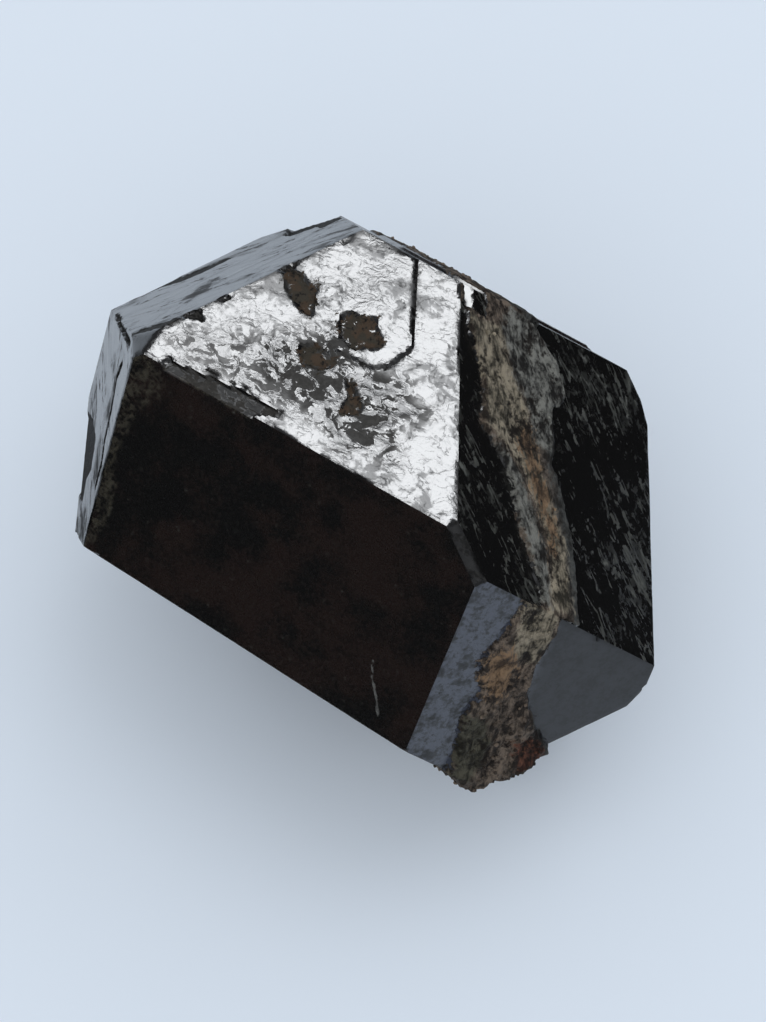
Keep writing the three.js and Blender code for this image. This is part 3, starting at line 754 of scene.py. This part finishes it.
def ribs(points, name):
    """Thin growth ribs along one direction of a face, from 0 to 1."""
    angle, width, length, _ = RIBS[name]
    turn = math.radians(angle)
    flat = on_face(points, name)
    along = flat @ np.array([math.cos(turn), math.sin(turn)])
    across = flat @ np.array([-math.sin(turn), math.cos(turn)]) + 0.12 * noise(points, 1.0, 72)
    place = np.stack([along / length, across / width, np.full(len(flat), 0.5)], axis=1)
    return ramp(noise(place, 1.0, 71), 0.15, 0.75)


def face_relief(points, name):
    """Height over the face's plane in millimetres, and the masks of its finish."""
    masks = blank(points)
    if name == "base":
        return np.zeros(len(points)), masks
    flat = on_face(points, name)
    ragged = layered(points, 0.4, 3, 60)
    height = terraces(points, name) + 0.004 * layered(points, 0.6, 3, 90)
    if name == "top":
        height += top_relief(points, masks)
    for outline, depth in FLAKES.get(name, []):
        inside = outline_depth(flat, outline)
        height -= depth * ramp(inside + 0.10 * ragged, -0.05, 0.05)
        mark(masks, "dark", inside)
    for path, width, depth in GROOVES.get(name, []):
        away = path_distance(flat, path)
        height -= depth * (1 - ramp(away + 0.03 * ragged, 0.3 * width, width))
        mark(masks, "dark", width - away)
    if name == "front":
        margin = ramp(outline_depth(flat, FRONT_MARGIN) + 0.25 * ragged, -0.05, 0.10)
        height -= margin * (0.02 + 0.02 * ragged)
        mark(masks, "shade", margin)
        masks["scratch"] = 0.03 - path_distance(flat, SCRATCH)
        height -= 0.02 * ramp(masks["scratch"], -0.04, 0.04)
    if name in RIBS:
        height += RIBS[name][-1] * ribs(points, name)
    if name not in SEEN:
        hollow = layered(points, 0.9, 3, 97) - HOLLOW_LEVEL
        height -= HOLLOW_DEPTH * ramp(hollow, 0.0, 0.2)
        mark(masks, "pit", hollow - 0.12)
    return height, masks


# %% [markdown]
# ## Raising the skin
# Each point moves along the line from the crystal's middle until it meets the first of the raised
# planes. That keeps the skin closed and free of folds, and a chip that lies deeper than an edge takes
# the edge away, as on the real crystal.

# %% Raising the skin
EDGE_WEAR, EDGE_CHIP = 0.012, 0.08
VEIN_RISE, BURST_RISE = 0.20, 0.40
NEAR_PLANE, NEAR_EDGE = 0.6, 0.35
point_homes = np.full(len(skin_points), -1)
point_homes[skin_faces.reshape(-1)] = np.repeat(skin_homes, 3)
vein_depth, vein_across, vein_along, vein_burst = vein_places(skin_points, point_homes)
chipped = outline_depth(on_face(skin_points, "top"), TOP_CHIP) > 0
chipped &= skin_points @ PLANES["top"][0] - PLANES["top"][1] > -2 * CHIP_DEPTH
vein_depth[chipped] = -0.5
vein_share = ramp(vein_depth + 0.10 * layered(skin_points, 0.35, 3, 140), -0.06, 0.08)
drawn_out = np.stack([vein_across, vein_along * 0.7, np.zeros(len(skin_points))], axis=1)
lumps = 0.5 + 0.5 * layered(drawn_out, 0.5, 4, 150, 0.65)
vein_height = vein_share * (0.01 + (VEIN_RISE + BURST_RISE * vein_burst) * lumps)

rays = skin_points - CENTRE
reach = np.full(len(skin_points), np.inf)
masks = blank(skin_points)


def cut_by(way, distance, height, near):
    """Let a raised plane cut the rays of the points near it, and tell which ones it now cuts first."""
    met = (distance + height - CENTRE @ way) / (rays[near] @ way)
    closer = met < reach[near]
    reach[near] = np.minimum(reach[near], met)
    return closer


for number, name in enumerate(names):
    way, distance = PLANES[name]
    near = skin_points @ way - distance > -NEAR_PLANE
    height, here = face_relief(skin_points[near], name)
    closer = cut_by(way, distance, height * (1 - 0.7 * vein_share[near]) + vein_height[near], near)
    taken = np.nonzero(near)[0][closer]
    point_homes[taken] = number
    for key, values in here.items():
        masks[key][taken] = values[closer]
corner_homes = point_homes[skin_faces]
moved = (corner_homes == corner_homes[:, :1]).all(axis=1)
skin_homes[moved] = corner_homes[moved, 0]


def edges():
    """For each edge: the direction half way between its two faces, and a point on it."""
    for i, one in enumerate(names):
        for other in names[i + 1:]:
            (way, _), (other_way, other_distance) = PLANES[one], PLANES[other]
            shared = [p for p in OUTLINES[one] if abs(other_way @ p - other_distance) < 1e-3]
            if len(shared) >= 2:
                between = way + other_way
                yield between / np.linalg.norm(between), shared[0]


for between, corner in edges():
    near = skin_points @ between - between @ corner > -NEAR_EDGE
    points = skin_points[near]
    wear = EDGE_WEAR * (1 + 0.8 * layered(points, 0.7, 3, 170))
    wear += EDGE_CHIP * ramp(layered(points, 0.55, 2, 181), 0.52, 0.75)
    cut_by(between, between @ corner, vein_height[near] - wear * (1 - vein_share[near]), near)

raised = CENTRE + rays * reach[:, None]
raised[:, 2] = np.maximum(raised[:, 2], 0)
moves = raised - skin_points
print("raised between", np.round(moves.min(0), 2), "and", np.round(moves.max(0), 2))

# %% The crystal's mesh
def add_attribute(mesh, name, values):
    mesh.attributes.new(name, "FLOAT", "POINT").data.foreach_set("value", values.astype(np.float32))


SHARP_ANGLE = math.radians(25)
APART = 40   # millimetres between one face's own coordinates and the next face's
crystal_mesh = bpy.data.meshes.new("crystal")
crystal_mesh.from_pydata((raised * MM).tolist(), [], skin_faces.tolist())
crystal_mesh.validate()
zones = {key: np.full(len(skin_points), -1.0) for key in ("orange", "tan", "scales", "rust", "olive")}
VEIN_ZONES = [
    ("orange", "right", [(-1.75, -0.92), (-1.56, -0.51), (-0.61, -0.86), (0.29, -1.16), (0.91, -1.25),
     (1.42, -1.75), (1.32, -2.05), (0.5, -1.65), (-0.47, -1.5), (-1.08, -1.3)]),
    ("tan", "right", [(-5.1, -0.9), (-4.17, 0.26), (-3.04, -0.18), (-2.02, -0.23), (-1.3, -0.6),
     (0.39, -1.05), (1.47, -1.25), (2.9, -2.3), (2.5, -3.0), (1.42, -2.05), (0.15, -1.72), (-0.71, -1.65),
     (-1.57, -1.7), (-2.46, -2.05), (-3.49, -1.37)]),
    ("scales", "right", [(-4.52, 1.02), (-3.68, 1.75), (-2.4, 1.94), (-1.5, 1.73), (-1.54, 0.83),
     (-0.7, 0.06), (-1.15, -0.59), (-1.98, -0.12), (-3.04, -0.18), (-4.17, 0.26)]),
    ("scales", "right", [(-2.2, -2.3), (-1.57, -1.85), (-0.71, -1.8), (0.15, -1.88), (1.42, -2.2),
     (2.4, -3.0), (2.1, -3.4), (1.2, -2.8), (0.1, -2.6), (-1.1, -2.5), (-2.1, -2.7)]),
    ("orange", "right_low", [(-1.42, 1.45), (-0.88, 1.65), (-0.58, 1.14), (-0.45, 0.19), (-0.91, -0.03),
     (-1.35, 0.7)]),
    ("tan", "right_low", [(-0.86, 3.4), (0.1, 3.2), (0.3, 1.94), (0.12, 1.04), (-0.54, 1.23),
     (-0.84, 1.73)]),
    ("olive", "right_low", [(-1.54, -0.68), (-0.91, -0.78), (-0.49, -1.72), (-0.59, -2.68), (-1.3, -3.2),
     (-1.5, -2.2)]),
    ("rust", "right_low", [(0.24, -1.84), (1.05, -1.97), (1.38, -2.82), (0.97, -3.4), (0.56, -2.9)]),
]
for zone, name, outline in VEIN_ZONES:
    here = point_homes == names.index(name)
    depth = outline_depth(on_face(skin_points[here], name), outline)
    zones[zone][here] = np.maximum(zones[zone][here], depth)
vein_marks = {"vein": vein_depth, "vein_side": vein_across, "lumps": lumps, "burst": vein_burst}
for name, values in {**masks, **zones, **vein_marks}.items():
    add_attribute(crystal_mesh, name, values)
belt = np.stack([vein_across, vein_along, skin_points @ np.cross(VEIN_NORMAL, (0, 0, 1))], axis=1)
belt_marks = crystal_mesh.attributes.new("belt", "FLOAT_VECTOR", "POINT")
belt_marks.data.foreach_set("vector", belt.astype(np.float32).reshape(-1))
face_places = crystal_mesh.uv_layers.new(name="face_places")
places = np.zeros((len(skin_faces) * 3, 2))
face_homes = np.repeat(skin_homes, 3)
for home, name in enumerate(names):
    here = face_homes == home
    places[here] = on_face(skin_points[skin_faces.reshape(-1)[here]], name) + (APART * home, 0)
face_places.data.foreach_set("uv", places.astype(np.float32).reshape(-1))
crystal = bpy.data.objects.new("crystal", crystal_mesh)
scene.collection.objects.link(crystal)
crystal_mesh.shade_smooth()
crystal_mesh.set_sharp_from_angle(angle=SHARP_ANGLE)
print("crystal mesh:", len(crystal_mesh.vertices), "points,", len(crystal_mesh.polygons), "triangles")

# %% [markdown]
# ## Finishes
# Uraninite is a dark, submetallic mineral: almost no colour of its own, and a mirror that throws back
# about a seventh of the light. So every face has the same near-black body and a high refractive
# index, and they differ in roughness, dimples and dirt.

# %% Colours of the crystal
BODY_COLOR = (0.0022, 0.0021, 0.0021)
RED_TINT = (0.0120, 0.0058, 0.0044)
PIT_BROWN, PIT_OLIVE = (0.054, 0.034, 0.020), (0.036, 0.030, 0.021)
PIT_DARK, PIT_GREY = (0.007, 0.006, 0.005), (0.032, 0.031, 0.029)
# grey of the front's specks and of the rib slivers, where it is partly a painted glint
STREAK_GREY_AND_GLINT = (0.075, 0.080, 0.068)
MARGIN_OLIVE = (0.040, 0.035, 0.024)
SCRATCH_GREY = (0.10, 0.10, 0.095)
SLATE_BLUE = (0.042, 0.048, 0.066)
# each zone of the vein: its dirt, and its clean grains
VEIN_COLORS = {
    "brown": ((0.024, 0.018, 0.014), (0.170, 0.132, 0.102)),
    "margin": ((0.018, 0.018, 0.017), (0.075, 0.078, 0.075)),
    "tan": ((0.030, 0.026, 0.018), (0.290, 0.250, 0.185)),
    "scales": ((0.015, 0.014, 0.013), (0.205, 0.205, 0.185)),
    "olive": ((0.016, 0.014, 0.009), (0.085, 0.080, 0.058)),
    "orange": ((0.055, 0.034, 0.020), (0.240, 0.155, 0.090)),
    "rust": ((0.030, 0.013, 0.009), (0.150, 0.060, 0.036)),
}
# painted shade for the vein's low places
HOLLOW_SHADE_BROWN = (0.014, 0.010, 0.008)
DIRT_REFRACTION, DIRT_ROUGHNESS = 1.3, 0.7
print("colours of the vein:", list(VEIN_COLORS))

# %% Helpers for the patterns
def stretched(finish, across, along, angle):
    """The face's own coordinates, turned by an angle and stretched along its growth ribs."""
    flat = finish.node("ShaderNodeUVMap", {"uv_map": "face_places"}).outputs[0]
    inputs = {"Vector": flat, "Rotation": (0, 0, -math.radians(angle)), "Scale": (1 / along, 1 / across, 1)}
    return finish.node("ShaderNodeMapping", None, inputs).outputs[0]


def cut(finish, depth, rough_noise, reach=0.10, soft=0.025):
    """A ragged mask from a depth in mm: 1 inside, 0 outside."""
    return finish.steps(depth + (rough_noise - 0.5) * (2 * reach), -soft, soft)


def vein_noise(finish, place):
    """Noise that is drawn out along the belt, and fine even noise."""
    belt = finish.node("ShaderNodeAttribute", {"attribute_name": "belt"}).outputs["Vector"]
    fibres = finish.node("ShaderNodeMapping", None, {"Vector": belt, "Scale": (3.6, 1.3, 1.0)}).outputs[0]
    return finish.noise(fibres, 1.6, 5.0, 0.7, 0.8), finish.noise(place, 4.5, 6.0, 0.75)


def vein_color(finish, thread, fine, tone):
    """The colour of each zone of the belt, from its dirt to its clean grains as tone rises, and painted
    shade in its low places.
    """
    shown = {zone: finish.mix(tone, *pair) for zone, pair in VEIN_COLORS.items()}
    outer = finish.steps(finish.attribute("vein_side") + (thread - 0.5) * 1.5, 0.2, 0.8)
    color = finish.mix(outer, shown["brown"], shown["margin"])
    borders = {"tan": (thread, 0.5), "scales": (fine, 0.5), "olive": (fine, 0.5), "orange": (thread, 1.2),
               "rust": (fine, 0.6)}
    for zone, (edge_noise, reach) in borders.items():
        inside = cut(finish, finish.attribute(zone), edge_noise, reach, 0.12)
        color = finish.mix(inside, color, shown[zone])
    # painted shade: where the lumps are lowest, the belt is painted dark brown
    hollow = finish.steps(finish.attribute("lumps") + (fine - 0.5) * 1.6, 0.44, 0.20)
    return finish.mix(hollow * 0.9, color, HOLLOW_SHADE_BROWN)


# %% [markdown]
# ## Patterns of the faces
# Each kind of face has a pattern of its own. It gets the place, the ragged and the grainy noise that
# all faces share, and its least roughness. It gives a colour, a roughness, a height in millimetres
# and a share of dull dust. A mirror's grey comes mostly from its roughness, which spreads the soft
# box's light; the grey slivers of the streaked faces are partly a painted glint.

# %% The bright top face
def etched_top(finish, place, fray, grain, rough):
    """A mirror with curved etching, dull and dark where the shade mask is high, and calm along its rim."""
    shade, calm = finish.attribute("shade"), 1 - finish.attribute("rim")
    flat = finish.warped(stretched(finish, 0.50, 0.75, 20), 1.0, 1.2)
    cloud = finish.noise(place, 0.9, 4.0, 0.65, 0.6)
    terrace = (finish.noise(flat, 1.0, 4.0, 0.5, 0.9) * 9).wave()
    line = finish.steps(terrace, 0.30, 0.06) * finish.steps(fray, 0.34, 0.60)
    etching = finish.noise(flat, 1.2, 5.0, 0.55, 1.6) + (cloud - 0.5) * 0.4
    grey = finish.steps(cloud + (etching - 0.5) * 0.9, 0.46, 0.72)
    outline = finish.steps((etching - 0.475).magnitude(), 0.030, 0.010)
    etched = (shade * finish.steps(etching + (grain - 0.5) * 0.12, 0.49, 0.52)).least(1.0)
    dull = 0.12 + etched * 0.42 + grey * 0.10 - outline * 0.14 + line * 0.08 + (shade - 1.0).most(0.0) * 0.6
    bright = grey * 0.24 + line * 0.22
    roughness = rough + calm * (bright * (1 - shade.least(1.0)) + shade * dull)
    height = calm * (terrace * 0.0025 + etching * (1 + shade * 2.5) * 0.008 + fray * 0.004)
    return finish.mix(etched * 0.8, BODY_COLOR, PIT_OLIVE), roughness, height, etched * 0.55


# %% The black faces
RIB_ANGLE = 16


def plain_front(finish, place, fray, grain, rough):
    """Satin black with reddish clouds and a few pale specks, an olive margin and one scratch."""
    reddish = finish.steps(finish.noise(place, 0.45, 4.0, 0.6) + (grain - 0.5) * 0.3, 0.42, 0.62)
    margin = finish.attribute("shade") * finish.steps(fray + (grain - 0.5) * 0.5, 0.40, 0.66)
    speck = finish.steps(grain + (fray - 0.5) * 0.8, 0.74, 0.80)
    color = finish.mix(margin, finish.mix(reddish, BODY_COLOR, RED_TINT), MARGIN_OLIVE)
    color = finish.mix(speck * 0.6, color, STREAK_GREY_AND_GLINT)
    scratch = cut(finish, finish.attribute("scratch"), fray, 0.07, 0.015)
    return finish.mix(scratch, color, SCRATCH_GREY), rough + finish.steps(grain, 0.45, 0.7) * 0.06, 0.0, 0.0


def streaked_right(finish, place, fray, grain, rough):
    """Black with thin grey slivers along the growth ribs, and a grey haze between them; their grey is
    partly a painted glint.
    """
    cluster = finish.noise(place, 0.5, 3.0, 0.6) - 0.5
    broad = finish.noise(stretched(finish, 0.30, 0.7, RIB_ANGLE), 1.0, 5.0, 0.7, 1.4)
    border, number = finish.cells(finish.warped(stretched(finish, 0.20, 0.95, RIB_ANGLE), 1.3, 0.9), 1.0)
    chosen = finish.steps(number + cluster * 1.6 + (fray - 0.5) * 1.6, 0.78, 0.94)
    sliver = finish.steps(border, 0.20, 0.04) * chosen
    haze = finish.steps(broad + cluster * 1.0 + (fray - 0.5) * 0.9, 0.56, 0.80)
    # painted glint: the grey of the slivers and the haze stands partly for light caught on the rough ribs
    color = finish.mix(haze * fray * 0.40 + sliver * fray * 1.3, BODY_COLOR, STREAK_GREY_AND_GLINT)
    return color, rough + haze * 0.15 + sliver * 0.2 + grain * 0.06, sliver * 0.012 + haze * 0.006, 0.0


# %% The slate faces
def slate_left(finish, place, fray, grain, rough):
    """Smooth slate grey from the pale floor that it mirrors, with dull patches and thin dark blots."""
    flow = finish.noise(stretched(finish, 0.30, 1.6, 43), 1.0, 4.0, 0.6, 0.5)
    patch = finish.noise(place, 0.6, 4.0, 0.65, 0.5)
    blot = finish.steps(flow + (patch - 0.5) * 0.8 + (fray - 0.5) * 0.5, 0.60, 0.66)
    roughness = rough + finish.steps(flow, 0.45, 0.80) * 0.14 + finish.steps(patch, 0.49, 0.72) * 0.27
    return BODY_COLOR, roughness, flow * 0.002, blot * 0.7


def mottled_low(finish, place, fray, grain, rough):
    """Blue mottling left of the vein, and plain slate grey right of it."""
    left = finish.steps(finish.attribute("vein_side"), 0.4, -0.4)
    cloud = finish.noise(place, 2.4, 5.0, 0.7)
    mottle = finish.steps(cloud + (grain - 0.5) * 0.7 + (fray - 0.5) * 0.6, 0.66, 0.40)
    color = finish.mix((left * 0.85 + 0.15) * mottle, BODY_COLOR, SLATE_BLUE)
    smoother = left * (finish.steps(cloud, 0.40, 0.70) * 0.26 - 0.22)
    return color, rough + smoother + finish.steps(cloud, 0.35, 0.65) * 0.05, cloud * left * 0.006, 0.0


# %% Kinds of face
# each kind: its finish's name, its least roughness, its refractive index and its pattern
KINDS = {
    "top": ("etched_mirror", 0.16, 2.25, etched_top),
    "front": ("satin_black", 0.26, 2.25, plain_front),
    "right": ("streaked_black", 0.22, 2.25, streaked_right),
    "slate": ("slate_satin", 0.20, 1.93, slate_left),
    "low": ("slate_low", 0.40, 1.54, mottled_low),
}
# every face that isn't named here is like the front
FACE_KIND = {"top": "top", "right": "right", "back": "right", "left_strip": "slate", "left_end": "slate",
             "corner_0": "slate", "front_bevel": "slate", "right_low": "low"}
print("faces like the front:", [name for name in names if FACE_KIND.get(name, "front") == "front"])

# %% [markdown]
# ## From patterns to finishes
# A finish has two shaders: the mirror, which takes the face's pattern, and matte dirt, which fills
# pits, cracks and the vein; painted shade also lies in it, along the top face's step and in the vein's
# low places. One mask mixes them, so that dirt never shines.

# %% Finishes of the crystal
def crystal_finish(kind, crossed):
    """The finish of one kind of face; crossed is True where the vein crosses it."""
    name, rough, refraction, pattern = KINDS[kind]
    finish = Finish(name + ("_vein" if crossed else ""))
    place = finish.place()
    fray = finish.noise(place, 4.0, 5.0, 0.65, 0.7)
    grain = finish.noise(place, 9.0, 3.0, 0.6, 0.6)
    color, roughness, relief, dust = pattern(finish, place, fray, grain, rough)
    pit = cut(finish, finish.attribute("pit"), fray, 0.60)
    matte = pit.most(cut(finish, finish.attribute("dark"), fray, 0.20)).most(dust)
    matte_height = fray * 0.05
    dirt_and_shade = finish.mix(finish.steps(finish.noise(place, 2.5, 3.0), 0.42, 0.58), PIT_BROWN, PIT_OLIVE)
    dirt_and_shade = finish.mix(finish.steps(grain + (fray - 0.5), 0.55, 0.75), dirt_and_shade, PIT_DARK)
    # where no pit lies, the dark marks are near black: real cracks and flakes, and painted shade along the
    # step
    dirt_and_shade = finish.mix(pit, finish.mix(finish.steps(grain, 0.45, 0.65), PIT_DARK, PIT_GREY), dirt_and_shade)
    if crossed:
        in_vein = cut(finish, finish.attribute("vein") + 0.05, fray, 0.35, 0.04)
        thread, fine = vein_noise(finish, place)
        broad = finish.noise(place, 1.3, 3.0, 0.6, 0.5)
        tone = finish.steps(thread * 0.45 + fine * 0.35 + broad * 0.4, 0.52, 0.70)
        dirt_and_shade = finish.mix(in_vein, dirt_and_shade, vein_color(finish, thread, fine, tone))
        matte_height = matte_height * (1 - in_vein) + in_vein * (thread * 0.10 + fine * 0.12)
        matte = matte.most(in_vein)
    mirror = finish.shader({
        "Base Color": color, "Roughness": roughness.least(1.0), "IOR": refraction,
        "Normal": finish.bump(grain * 0.002 + relief),
    })
    crumbly = finish.shader({
        "Base Color": dirt_and_shade, "Roughness": DIRT_ROUGHNESS, "IOR": DIRT_REFRACTION,
        "Normal": finish.bump(matte_height),
    })
    both = finish.node("ShaderNodeMixShader", None, {0: matte, 1: mirror, 2: crumbly})
    return finish.close(both.outputs[0])


FINISHES = {(kind, crossed): crystal_finish(kind, crossed) for kind in KINDS for crossed in (False, True)}
VEIN_FRAY = 0.3
finish_names = list(FINISHES)
for finish in FINISHES.values():
    crystal_mesh.materials.append(finish)
touched = (vein_depth > -VEIN_FRAY)[skin_faces].any(axis=1)
slots = [finish_names.index((FACE_KIND.get(names[home], "front"), bool(hit)))
         for home, hit in zip(skin_homes, touched)]
crystal_mesh.polygons.foreach_set("material_index", np.array(slots, np.int32))
crystal_mesh.update()
print("finishes:", [finish.name for finish in FINISHES.values()])

# %% [markdown]
# ## Crumbs on the vein
# The filling of the vein breaks up into crumbs about a tenth of a millimetre across. Geometry Nodes
# scatters one lumpy grain over the belt, turned and sized at random, and joins the copies to a mesh.
# The grains take the belt's own marks with them, so that they have the colour of the place they lie on.

# %% Crumbs
def crumb_material():
    finish = Finish("vein_crumb")
    place = finish.place()
    thread, fine = vein_noise(finish, place)
    tone = finish.steps(finish.attribute("tint") * 0.6 + thread * 0.5, 0.25, 0.95)
    color = vein_color(finish, thread, fine, tone)
    inputs = {"Base Color": color, "Roughness": DIRT_ROUGHNESS, "IOR": DIRT_REFRACTION}
    return finish.close(finish.shader(inputs))


# each input of the tree: its kind of socket and its value
CRUMBS = {
    "Geometry": ("Geometry", None),
    "Grains per area": ("Float", 9 / MM ** 2), "Least share": ("Float", 0.25),
    "Smallest": ("Float", 0.02 * MM), "Largest": ("Float", 0.075 * MM),
    "Least depth": ("Float", 0.15), "Least height": ("Float", 0.3 * MM),
    "Seed": ("Int", 11), "Material": ("Material", crumb_material()),
}


def crumb_tree():
    """Scatters a grain on every face that lies deep enough in the vein, most where it bursts out."""
    group = bpy.data.node_groups.new("crumbs", "GeometryNodeTree")
    group.interface.new_socket("Geometry", in_out="OUTPUT", socket_type="NodeSocketGeometry")
    for title, (kind, _) in CRUMBS.items():
        group.interface.new_socket(title, in_out="INPUT", socket_type="NodeSocket" + kind)
    tree = Tree(group)
    number = {"data_type": "FLOAT"}

    def attribute(name):
        return tree.node("GeometryNodeInputNamedAttribute", number, {"Name": name}).outputs["Attribute"]

    def joined(kind, operation, first, second):
        return tree.node(kind, {"operation": operation}, {0: first, 1: second}).outputs[0]

    given = tree.node("NodeGroupInput").outputs
    place = tree.node("GeometryNodeInputPosition").outputs[0]
    height = tree.node("ShaderNodeSeparateXYZ", None, {0: place}).outputs["Z"]
    deep = joined("FunctionNodeCompare", "GREATER_THAN", attribute("vein"), given["Least depth"])
    clear = joined("FunctionNodeCompare", "GREATER_THAN", height, given["Least height"])
    share = joined("ShaderNodeMath", "ADD", attribute("burst"), given["Least share"])
    spread = tree.node("GeometryNodeDistributePointsOnFaces", None, {
        "Mesh": given["Geometry"], "Selection": joined("FunctionNodeBooleanMath", "AND", deep, clear),
        "Density": joined("ShaderNodeMath", "MULTIPLY", share, given["Grains per area"]),
        "Seed": given["Seed"],
    }).outputs["Points"]
    tint = tree.node("FunctionNodeRandomValue", number, {"Seed": 3}).outputs[1]
    marked = tree.node("GeometryNodeStoreNamedAttribute", {**number, "domain": "POINT"},
                       {"Geometry": spread, "Name": "tint", "Value": tint}).outputs[0]
    ball = tree.node("GeometryNodeMeshIcoSphere", None, {"Radius": 1.0, "Subdivisions": 2}).outputs["Mesh"]
    dents = tree.node("ShaderNodeTexNoise", None, {"Scale": 1.1}).outputs["Color"]
    centred = joined("ShaderNodeVectorMath", "SUBTRACT", dents, (0.5, 0.5, 0.5))
    pushed = joined("ShaderNodeVectorMath", "MULTIPLY", centred, (1.1, 1.1, 1.1))
    lump = tree.node("GeometryNodeSetPosition", None, {"Geometry": ball, "Offset": pushed}).outputs[0]
    turn = tree.node("FunctionNodeRandomValue", {"data_type": "FLOAT_VECTOR"},
                     {"Max": (6.28, 6.28, 6.28), "Seed": 5}).outputs[0]
    size = tree.node("FunctionNodeRandomValue", number,
                     {"Min": given["Smallest"], "Max": given["Largest"], "Seed": 7}).outputs[1]
    placed = tree.node("GeometryNodeInstanceOnPoints", None, {
        "Points": marked, "Instance": lump, "Rotation": turn, "Scale": size}).outputs[0]
    real = tree.node("GeometryNodeRealizeInstances", None, {"Geometry": placed}).outputs[0]
    dressed = tree.node("GeometryNodeSetMaterial", None, {"Geometry": real, "Material": given["Material"]})
    tree.node("NodeGroupOutput", None, {"Geometry": dressed.outputs[0]})
    return group


def scatter(source, group, values):
    """The tree's result on a source mesh, as a plain mesh."""
    modifier = source.modifiers.new("crumbs", "NODES")
    modifier.node_group = group
    for item in group.interface.items_tree:
        if item.in_out == "INPUT" and values[item.name][1] is not None:
            modifier[item.identifier] = values[item.name][1]
    depsgraph = bpy.context.evaluated_depsgraph_get()
    result = source.evaluated_get(depsgraph)
    mesh = bpy.data.meshes.new_from_object(result, preserve_all_data_layers=True, depsgraph=depsgraph)
    source.modifiers.remove(modifier)
    return mesh


crumb_mesh = scatter(crystal, crumb_tree(), CRUMBS)
crumb_mesh.name = "vein_crumbs"
crumbs = bpy.data.objects.new("vein_crumbs", crumb_mesh)
scene.collection.objects.link(crumbs)
print("crumbs:", len(crumb_mesh.polygons), "triangles, colour marks kept:", "tint" in crumb_mesh.attributes)

# %% Joining the crystal to the frame
for piece in (crystal, crumbs):
    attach(piece, BODY)
    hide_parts(NODE)
